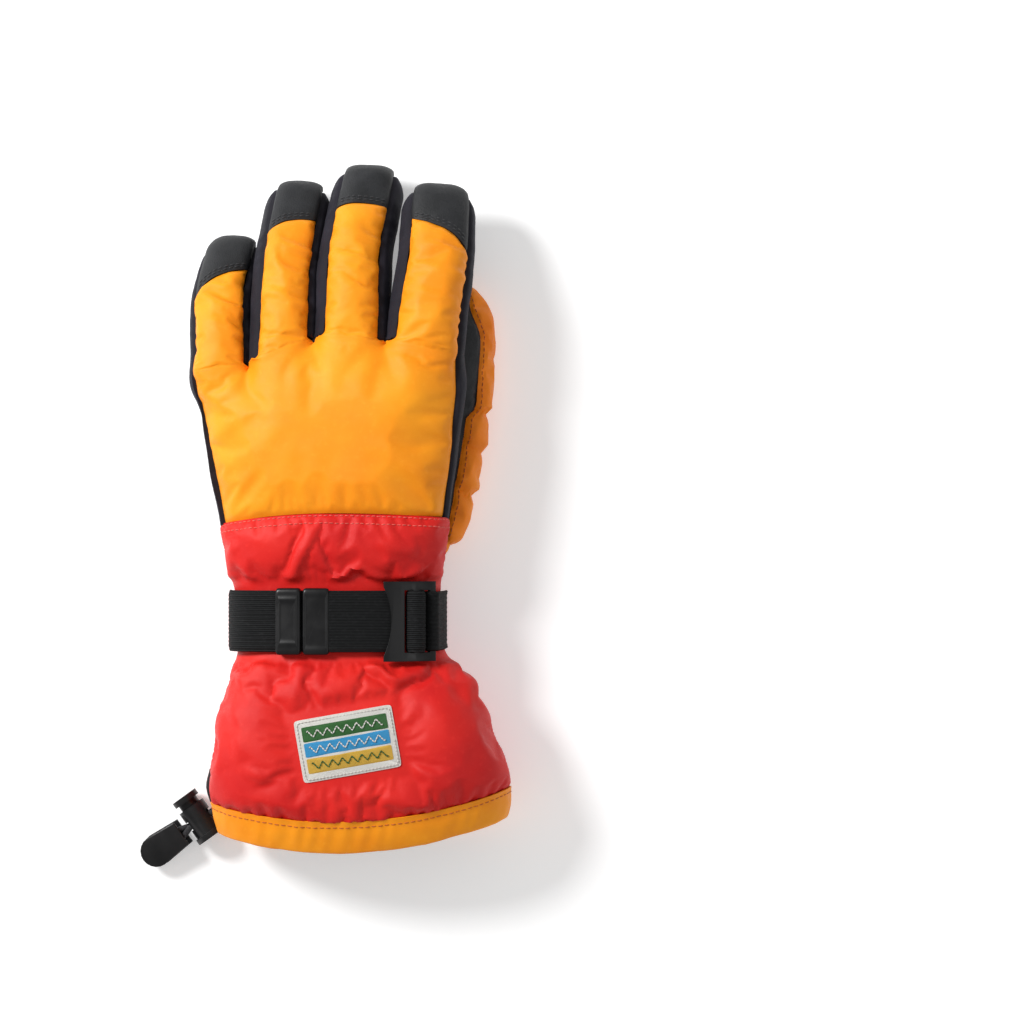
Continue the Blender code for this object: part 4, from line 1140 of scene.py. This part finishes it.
CUFF_FOLDS = (
    ((-15.1, -9.0), (-26.0, -32.0), 1.9, 2.6),
    ((-48.2, -15.0), (-50.4, -30.0), 1.5, 2.6),
    ((-46.0, -22.0), (-37.0, -35.0), 1.6, 2.6),
    ((-7.0, -30.0), (4.0, -23.5), 1.7, 2.2),
    ((4.0, -23.5), (17.0, -32.0), 1.7, 2.2),
    ((19.0, -30.0), (30.0, -24.0), 1.4, 2.0),
    ((12.0, -14.0), (26.0, -18.0), 1.0, 2.6),
    ((-35.1, -66.0), (-45.0, -75.0), 1.9, 3.0),
    ((-45.0, -73.0), (-46.5, -93.0), 1.7, 3.2),
    ((-20.0, -64.0), (-24.0, -84.0), 1.5, 3.2),
    ((7.7, -66.0), (19.0, -74.0), 1.9, 2.4),
    ((19.0, -74.0), (31.0, -70.0), 1.6, 2.4),
    ((-10.0, -81.0), (16.0, -78.0), 1.3, 3.4),
    ((38.0, -62.0), (51.0, -79.0), 2.0, 3.6),
    ((48.0, -74.0), (60.0, -92.0), 1.8, 3.6),
    ((33.0, -82.0), (46.0, -104.0), 1.3, 4.5),
    ((28.0, -110.0), (43.0, -118.0), 1.3, 3.2),
    ((-47.0, -96.0), (-36.0, -114.0), 1.4, 3.6),
    ((-38.0, -112.0), (-16.0, -121.0), 1.2, 3.2),
    ((2.0, -120.0), (30.0, -125.0), 1.0, 3.0),
)


def big_folds(points, broad, crush, crush_scale, seed):
    """The gauntlet's loose folds, wider than they are long."""
    return (1.6 * noise_at(points, broad, seed, (1, 0.6, 1))
            + crush * crumple(points, crush_scale, seed + 2, (1.1, 0.6, 1)))


def elastic_gathers(points):
    """Zig-zag puffs over the elastic on the palm side of the wrist, and soft folds beyond it."""
    x, y = points[..., 0], points[..., 1]
    row = (y + 60.0) / 6.5
    zigzag = 2.6 * np.abs((row % 2) - 1)
    waves_across = np.sin((x + zigzag) / 7.4 * math.tau + 0.6 * noise_at(points, 20, 55))
    band = smooth_step((y + 70) / 9) * smooth_step((-29 - y) / 8)
    height = 1.5 * band * waves_across * (0.65 + 0.35 * np.cos(row * math.tau))
    loose = smooth_step((-62 - y) / 20) * smooth_step((y + 146) / 14)
    return height + loose * big_folds(points, 34, 1.2, 38, 57) + 0.4


def under_strap(points):
    return 1 - smooth_step((np.abs(points[..., 1] - STRAP_Y) - STRAP_WIDTH / 2 - 2.5) / 5)


def under_patch(points):
    """1 under the patch, where the fabric is held flat."""
    u, v = patch_axes(points[..., 0], points[..., 1])
    return smooth_step(1 - np.maximum((np.abs(u) - 20) / 7, (np.abs(v) - 13) / 7))


def patch_axes(x, y):
    x, y = x - PATCH_AT[0], y - PATCH_AT[1]
    return (x * math.cos(PATCH_TURN) + y * math.sin(PATCH_TURN),
            y * math.cos(PATCH_TURN) - x * math.sin(PATCH_TURN))


def cuff_relief(points, back):
    """Folds of the cuff: pinched under the strap, gathered beside it, loose towards the mouth."""
    x, y = points[..., 0], points[..., 1]
    outside = np.clip(np.abs(y - STRAP_Y) - STRAP_WIDTH / 2, 0, None)
    pressed = np.exp(-(outside / 5.0) ** 2)
    height = -0.6 * pressed - 0.8
    if not back:
        return height + elastic_gathers(points)
    gather = np.exp(-outside / 16.0) * (1 - 0.75 * pressed)
    height += creases(points, CUFF_FOLDS) + 0.9 * crumple(points, 24, 43, (0.8, 1.1, 1)) * gather
    loose = smooth_step((STRAP_Y - 20 - y) / 25) * smooth_step((y + 146) / 14)
    height += loose * big_folds(points, 38, 1.1, 40, 47)
    hand_side = smooth_step((y - STRAP_Y - 16) / 12)
    height += hand_side * 0.6 * crumple(points, 20, 51, (0.8, 1.3, 1))
    height *= 1 - under_patch(points)
    buckle = np.exp(-(((x - 28) / 19) ** 4)) * smooth_step((20.5 - np.abs(y - STRAP_Y)) / 5)
    pressed = np.maximum(under_strap(points), buckle)
    dented = 0.9 * smooth_step(1.5 - np.abs(x - 39) / 8) * buckle
    return (height + 0.8) * (1 - pressed) - 0.6 * pressed - dented


def make_cuff_panel(mats, label, low, high, end, back, nodes):
    angle = even_angles(low, high, 120)[None, :]
    y = np.linspace(HEM_TOP, end, 130)[:, None]
    points = tube_point(y, angle)
    if back:
        points[..., 1] += seam_dip(power(np.cos(angle), 2 / ROUNDNESS)) * smooth_step((y + 40) / 36)
    sides, _, _, first, last = edge_distances(points)
    height = cuff_relief(points, back)
    height = height * (1 - np.exp(-sides / 4)) + tuck(sides, 0.4, 0.7, 3.0)
    height = height * (1 - np.exp(-last / 3.5)) * (1 - np.exp(-first / 3.5))
    height += tuck(last, 0.5, 0.5, 2.0) + tuck(first, 0.3, 1.0, 2.0)
    height += puckers(points[..., 0], last, 7.0, 0.25, 61) + puckers(points[..., 0], first, 6.5, 0.35, 63)
    raised = raise_points(points, height)
    held = held_edges(raised)
    if back:
        held = np.maximum.reduce([held, under_patch(raised), under_strap(raised)])
    raised = simulated(raised, held, 0.05, pressure=0.8, bending=0.6, cap=4.0)
    obj = grid_mesh(label, raised, mats["red"])
    attach(obj, "hand", "red_nylon", *nodes)
    return raised


def make_cuff(mats):
    back = make_cuff_panel(mats, "cuff_back", math.pi, 0.0, WRIST_SEAM_BACK, True, ["cuff_back_panel"])
    make_cuff_panel(mats, "cuff_palm", math.tau, math.pi, WRIST_SEAM_PALM, False,
                    ["cuff_palm_panel", "wrist_elastic"])
    distance = walked(back, 0)[:, 60]
    for k, gap in enumerate((1.6, 4.4)):
        where = np.s_[nearest(distance[-1] - distance, gap), 3:-3]
        stitches = stitches_on(f"wrist_seam_stitches_{k}", back, where, mats["pink_thread"], pitch=2.3,
                               length=1.8)
        attach(stitches, "hand", "red_nylon")
    make_hem(mats)
    make_lining(mats)


def make_hem(mats):
    """The folded hem: round its mouth edge, sewn flat along its upper edge."""
    angle = even_angles(0, math.tau, 241)[:-1][None, :]
    turn = ramp(22)
    top = HEM_TOP + 1.2
    y = top - (top - HEM_BOTTOM) * np.sin(turn * math.pi) ** 0.85
    points = tube_point(y, angle, 0.3 - 1.9 * np.cos(turn * math.pi))
    edge = np.minimum(turn, 1 - turn) * 26 + 0 * angle
    height = 0.35 * noise_at(points, 14, 71) + 0.3 * crumple(points, 12, 73)
    height += puckers(walked(points, 1), edge, 7.5, 0.5, 75)
    height -= 0.5 * np.exp(-((edge - 1.6) / 0.8) ** 2)
    raised, normals = raise_ring(points, height, 2)
    obj = grid_mesh("hem", raised, mats["orange"], ring=True, thickness=0.5)
    attach(obj, "hand", "orange_nylon", "cuff_hem", "hem_drawcord")
    route, up = (np.concatenate([values[1], values[1, :1]]) for values in (raised, normals))
    stitches = dashes("hem_stitches", route, up, mats["orange_thread"], pitch=2.8, length=2.1)
    attach(stitches, "hand", "orange_nylon")


def make_lining(mats):
    """The fleece that shows inside the mouth, and goes on to the hand."""
    angle = even_angles(math.tau, 0, 161)[:-1][None, :]
    points = tube_point(np.linspace(-141.0, 50.0, 150)[:, None], angle, LINING_INSET)
    height = 0.6 * noise_at(points, 18, 81) + 0.4 * crumple(points, 14, 83)
    raised, _ = raise_ring(points, height, 5, inward=True)
    obj = grid_mesh("lining", raised, mats["fleece"], ring=True)
    attach(obj, "hand", "lining", "cuff_lining", "hand_lining")


# ---------------------------------------------------------------- strap


def strap_at(along, lift):
    """(x, z) of the strap's curve at a length from its top, lift above its inner face."""
    shoulder = max(-STRAP_SHOULDER, along) / STRAP_RADIUS
    out = Vector((math.sin(shoulder), math.cos(shoulder)))
    centre = Vector(STRAP_CENTRE)
    if along >= -STRAP_SHOULDER:
        return centre + out * (STRAP_RADIUS + lift)
    centre = centre + out * (STRAP_RADIUS - SHOULDER_RADIUS)
    turn = shoulder + (along + STRAP_SHOULDER) / SHOULDER_RADIUS
    return centre + Vector((math.sin(turn), math.cos(turn))) * (SHOULDER_RADIUS + lift)


def ribbed_band(name, path, width, material, ribs, relief=0.22):
    """Webbing along a path of (x, z) pairs, with real ribs along it and turned edges."""
    columns = ribs * 6 + 1
    across = np.linspace(-width / 2, width / 2, columns)
    wave = relief * (np.abs(np.cos(np.linspace(0, ribs * math.pi, columns))) - 0.5)
    wave -= 0.5 * np.exp(-(width / 2 - np.abs(across)) / 0.5)
    rows = []
    for k, point in enumerate(path):
        before, after = path[max(k - 1, 0)], path[min(k + 1, len(path) - 1)]
        ahead = (after - before).normalized()
        rows.append(stack(point.x - ahead.y * wave, STRAP_Y + across, point.y + ahead.x * wave))
    return grid_mesh(name, np.array(rows), material, thickness=WEBBING)


def smooth_path(points, step=0.8):
    """An even path through (x, z) points."""
    given = np.array([tuple(point) for point in points])
    run = np.concatenate([[0], np.cumsum(np.linalg.norm(np.diff(given, axis=0), axis=1))])
    places = np.arange(0, run[-1], step)
    return [Vector([np.interp(place, run, given[:, axis]) for axis in range(2)]) for place in places]


def arc_path(low, high, lift, steps):
    return [strap_at(low + (high - low) * k / steps, lift) for k in range(steps + 1)]


def box_in_mm(node):
    return [tuple(1000 * v for v in corner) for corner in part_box(node)]


def round_bar(centre, radius, turns):
    """Points (x, z) round one of the buckle's bars."""
    return [centre + Vector((math.sin(turn), math.cos(turn))) * radius for turn in turns]


def make_strap(mats):
    foot = -STRAP_SHOULDER - SHOULDER_RADIUS * (math.pi / 2 - STRAP_SHOULDER / STRAP_RADIUS)
    path = smooth_path([strap_at(foot, 1.5) - Vector((0, 6)), *arc_path(foot, 27.6, 1.5, 80)])
    base = ribbed_band("strap_webbing_skin", path, STRAP_WIDTH, mats["webbing"], 14)
    attach(base, "hand", "webbing", "strap_webbing")
    path = smooth_path(arc_path(-4.8, 23.8, 3.3, 60))
    tail = ribbed_band("strap_tail_skin", path, STRAP_WIDTH - 0.4, mats["fine_webbing"], 26, 0.12)
    attach(tail, "strap_end", "webbing", "strap_tail")
    make_anchor(mats)
    low, high = box_in_mm("strap_fold")
    centre = Vector(((low[0] + high[0]) / 2, (low[2] + high[2]) / 2))
    turns = np.linspace(math.radians(212), math.radians(532), 70)
    ring = round_bar(centre, (high[0] - low[0]) / 2 - 0.1, turns)
    fold = ribbed_band("strap_fold_skin", smooth_path(ring, 0.5), STRAP_WIDTH, mats["webbing"], 14, 0.2)
    attach(fold, "buckle_frame", "webbing", "strap_fold")


def make_anchor(mats):
    """Webbing that rises beside the cuff and loops round the buckle's rear bar."""
    (x0, _, z0), (x1, _, z1) = box_in_mm("buckle_anchor_webbing")
    radius = 3.2
    top = Vector((x0 + radius + 0.1, z1 - radius - 0.05))
    loop = round_bar(top, radius, np.linspace(math.radians(100), math.radians(-190), 60))
    path = [Vector((x1 - 0.1, z0 - 3.0)), Vector((x1 - 0.1, z0 + 8)), Vector((x1 - 0.8, z0 + 17)), *loop]
    obj = ribbed_band("anchor_webbing_skin", smooth_path(path, 0.6), 24.2, mats["webbing"], 12)
    attach(obj, "hand", "webbing", "buckle_anchor_webbing")


def four_quarters(quarter):
    """A full turn's angles, from those of its first quarter."""
    return np.concatenate([quarter + k * math.pi / 2 for k in range(4)])


def strap_pad(mats, name, node, span, half, top, relief):
    """A moulded pad on the strap's free end, rounded over its rim, with relief(u, v) on top."""
    turn = four_quarters(np.arctan(np.linspace(-1, 1, 21)[:-1]))
    shares = [0.02, *np.linspace(0.08, 0.9, 18), 0.93, 0.96, 0.98, 1.0, 1.0]
    middle, reach = (span[0] + span[1]) / 2, (span[1] - span[0]) / 2
    rows = []
    for k, share in enumerate(shares):
        square = 12 if share > 0.85 else 24
        u = share * power(np.cos(turn), 2 / square)
        v = share * power(np.sin(turn), 2 / square)
        edge = np.clip((share - 0.86) / 0.14, 0, 1)
        lift = top - 1.1 * (1 - math.sqrt(1 - edge**2)) + relief(u * reach, v * half) * (1 - edge)
        if k == len(shares) - 1:
            lift = np.full_like(u, 2.0)
        places = [strap_at(middle + a * reach, h) for a, h in zip(u, lift)]
        rows.append([(place.x, STRAP_Y + b * half, place.y) for place, b in zip(places, v)])
    obj = grid_mesh(name, np.array(rows), mats["plastic"], ring=True, thickness=0)
    close_ends(obj, len(turn), len(rows))
    obj.data.set_sharp_from_angle(angle=math.radians(40))
    attach(obj, "strap_end", "plastic", node)


def make_strap_end(mats):
    """The raised grip with a plain bead round its top, and the flatter clip beside it."""
    def bead(u, v):
        place = np.maximum(np.abs(u) / 5.25, np.abs(v) / 14.2)
        return 0.4 * np.exp(-((place - 0.66) / 0.07) ** 2)

    def dished(u, v):
        place = np.maximum(np.abs(u) / 5.55, np.abs(v) / 14.2)
        return -0.35 * smooth_step((0.82 - place) / 0.1)

    strap_pad(mats, "grip_moulding", "strap_end_grip", (-25.4, -14.9), 14.2, 5.6, bead)
    strap_pad(mats, "clip_moulding", "strap_end_clip", (-14.2, -3.1), 14.2, 4.8, dished)


# ---------------------------------------------------------------- cord


def cord_route():
    """The drawcord's points: from the hem through the lock, round the tab's post and back to the side seam."""
    lock, ahead = Vector(LOCK_AT), Vector((math.cos(LOCK_TURN), math.sin(LOCK_TURN), 0))
    height = (TAB_LENGTH + TAB_HALF_WIDTH) * math.sin(TAB_TILT)
    place = Vector((lock.x, lock.y, 0)) + ahead * TAB_NEAR + Vector((0, 0, height))
    turned = Matrix.Rotation(LOCK_TURN, 3, "Z") @ Matrix.Rotation(TAB_TILT, 3, "Y")

    def at(forward, lift):
        return lock + ahead * forward + Vector((0, 0, lift))

    def in_tab(x, y, z):
        return place + turned @ Vector((x, y, z))

    apart, slot = 1.7, 4.2
    bend = TAB_POST_RADIUS + 0.45 + CORD_RADIUS
    bight = [in_tab(TAB_POST + bend * math.cos(turn), bend * math.sin(turn), slot + 0.3 * math.sin(turn))
             for turn in np.linspace(-1.35, 1.35, 5)]
    inward = [CORD_EXIT, at(-6.5, -apart), at(-3, -apart), at(4, -apart), in_tab(0.8, -1.7, slot - 0.2)]
    outward_run = [in_tab(0.8, 1.7, slot + 0.4), at(4, apart), at(-4, apart), at(-8, apart + 0.5), CORD_BEND,
                   CORD_RETURN]
    return smooth_route([*inward, *bight, *outward_run], 4)


def smooth_route(points, steps):
    ends = [points[0] * 2 - points[1], *points, points[-1] * 2 - points[-2]]
    found = []
    for a, b, c, d in zip(ends, ends[1:], ends[2:], ends[3:]):
        for k in range(steps):
            t = k / steps
            found.append(0.5 * (2 * b + (c - a) * t + (2 * a - 5 * b + 4 * c - d) * t**2
                                + (3 * b - a - 3 * c + d) * t**3))
    return found + [points[-1]]


def tube_mesh(name, route, radius, material, sides=12):
    """A round cord as a mesh, with UVs in metres round it and along it."""
    rows = []
    up = Vector((0, 0, 1))
    for k, point in enumerate(route):
        ahead = (route[min(k + 1, len(route) - 1)] - route[max(k - 1, 0)]).normalized()
        side = ahead.cross(up).normalized()
        over = side.cross(ahead).normalized()
        up = over
        rows.append([point + (side * math.cos(t) + over * math.sin(t)) * radius
                     for t in np.linspace(0, math.tau, sides, endpoint=False)])
    points = np.array([[tuple(place) for place in row] for row in rows])
    obj = grid_mesh(name, points, material, ring=True, thickness=0)
    close_ends(obj, sides, len(route))
    return obj


def close_ends(obj, sides, rows):
    work = bmesh.new()
    work.from_mesh(obj.data)
    work.verts.ensure_lookup_table()
    for first in (0, (rows - 1) * sides):
        work.faces.new([work.verts[first + k] for k in range(sides)])
    bmesh.ops.recalc_face_normals(work, faces=work.faces)
    work.to_mesh(obj.data)
    work.free()


def make_cord(mats, on_it):
    route = cord_route()
    length = sum((b - a).length for a, b in zip(route, route[1:]))
    obj = tube_mesh("drawcord", route, CORD_RADIUS, mats["cord"])
    attach(obj, "hand", "cord", "drawcord_loop")


# ---------------------------------------------------------------- patch


def patch_frame(u, v, lift):
    """A point of the cuff's back under the patch, which is turned a little."""
    x = PATCH_AT[0] + u * math.cos(PATCH_TURN) - v * math.sin(PATCH_TURN)
    y = PATCH_AT[1] + u * math.sin(PATCH_TURN) + v * math.cos(PATCH_TURN)
    centre, wide, level, above, _ = section(y)
    share = np.clip(np.abs(x - centre) / wide, 0, 0.99)
    return stack(x, y, level + above * arch(share, ROUNDNESS) + lift)


def patch_piece(mats, label, outline, lift, look, rise, *nodes):
    """A flat embroidered shape that follows the cuff, from an outline function of (share, turn)."""
    share = ramp(16)
    even = np.linspace(-1, 1, 25)[:-1]
    u, v = outline(share, four_quarters(np.arctan(even**3 * 0.9 + even * 0.1))[None, :])
    points = patch_frame(u, v, lift + rise * (1 - share**6))[:, ::-1]
    obj = grid_mesh(label, points, mats[look], ring=True, thickness=0.5)
    weld(obj.data)
    attach(obj, "hand", "patch", *nodes)


def rectangle(half_u, half_v, centre=0.0, corner=24.0):
    """A rectangle with barely rounded corners, as a function of the share from its middle and the turn."""
    def outline(share, turn):
        return (half_u * share * power(np.cos(turn), 2 / corner),
                centre + half_v * share * power(np.sin(turn), 2 / corner))
    return outline


def patch_dashes(mats, name, u, v, lift, look, **sizes):
    route = patch_frame(u, v, lift)
    up = np.tile(np.array((0.0, 0.0, 1.0)), (len(route), 1))
    attach(dashes(name, route, up, mats[look], **sizes), "hand", "patch")


def make_patch(mats):
    """A cream border round three plain bands, each with a zig-zag along it."""
    patch_piece(mats, "patch_border", rectangle(21.0, 13.3), 2.5, "patch_ground", 0.5, "cuff_patch")
    bands = (("green", 6.9, 3.2, "patch_ground"), ("blue", 0.2, 3.0, "patch_ground"),
             ("yellow", -6.6, 3.2, "patch_green"))
    for k, (colour, place, half, _) in enumerate(bands):
        patch_piece(mats, f"patch_band_{k}", rectangle(18.2, half, place), 2.95, "patch_" + colour, 0.3)
    u, v = rectangle(19.9, 12.2)(1.0, np.linspace(0, math.tau, 400))
    patch_dashes(mats, "patch_stitches", u, v, 2.95, "patch_ground", pitch=1.5, length=1.2, radius=0.22)
    u = np.linspace(-16.4, 16.4, 200)
    zigzag = 1.5 * np.arcsin(np.sin(u / 4.2 * math.tau)) / (math.pi / 2)
    for colour, place, _, look in bands:
        patch_dashes(mats, "patch_zigzag_on_" + colour, u, place + zigzag, 3.4, look, pitch=1.35, length=1.25,
                     radius=0.3)


# ---------------------------------------------------------------- carried-over hard parts


MOULDINGS = (
    ("buckle", "buckle_frame", 0.55),
    ("cord_lock_barrel", "hand", 0.35),
    ("cord_lock_button", "lock_button", 0.35),
    ("pull_tab_lower", "pull_tab", 0.6),
    ("pull_tab_upper", "pull_tab", 0.5),
)


def copy_of(node, name, material):
    """A new piece that starts from a CAD node's shape."""
    mesh = bpy.data.objects[node].data.copy()
    mesh.materials.clear()
    mesh.materials.append(material)
    work = bmesh.new()
    work.from_mesh(mesh)
    bmesh.ops.remove_doubles(work, verts=work.verts, dist=0.01 * MM)
    bmesh.ops.dissolve_limit(work, angle_limit=math.radians(2), verts=work.verts, edges=work.edges)
    work.to_mesh(mesh)
    work.free()
    return add_object(name, mesh)


def make_mouldings(mats):
    """The moulded parts, with rounded edges. Those on the cord are returned."""
    on_cord = []
    for node, body, width in MOULDINGS:
        obj = copy_of(node, node + "_moulding", mats["plastic"])
        bevel = obj.modifiers.new("bevel", "BEVEL")
        bevel.width = width * MM
        bevel.segments = 3
        bevel.limit_method = "ANGLE"
        bevel.angle_limit = math.radians(38)
        apply_modifiers(obj)
        obj.data.shade_smooth()
        obj.data.set_sharp_from_angle(angle=math.radians(35))
        attach(obj, body, "plastic", node)
        if node != "buckle":
            on_cord.append(obj)
    return on_cord


def make_spring(mats):
    """The lock's spring, which on the real lock shortens as the button is pressed; here it keeps its CAD
    shape.
    """
    obj = copy_of("cord_lock_spring", "spring_coil", mats["steel"])
    obj.data.shade_smooth()
    attach(obj, "hand", "spring_steel", "cord_lock_spring")
    press = next(joint for joint in frame["record"]["behaviour"]["joints"] if joint["name"] == "lock_press")
    axis = np.array(press["axis"])
    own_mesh(obj)
    return obj


def dress_linings(mats):
    """Fleece on the CAD nodes that stay: the stalls inside the fingers and the thumb."""
    for node in (*(f"{name}_lining" for name in NAMES), "thumb_lining"):
        for slot in bpy.data.objects[node].material_slots:
            slot.material = mats["fleece"]


def main():
    make_camera()
    mats = make_materials()
    make_cord(mats, [*make_mouldings(mats), make_spring(mats)])
    make_studio(mats)
    make_hand_back(mats)
    make_palm(mats)
    make_hand_wall(mats, "little", -1, "ulnar_side_wall")
    make_hand_wall(mats, "index", 1, "radial_side_wall")
    for number, name in enumerate(NAMES):
        seed = 100 + 10 * number
        make_finger_back(mats, name, seed)
        make_finger_wall(mats, name, -1, seed + 1)
        make_finger_wall(mats, name, 1, seed + 2)
        make_cap(mats, name, seed + 3)
        make_finger_palm(mats, name, seed + 4)
    make_thumb(mats)
    make_cuff(mats)
    make_strap(mats)
    make_strap_end(mats)
    make_patch(mats)
    dress_linings(mats)


main()
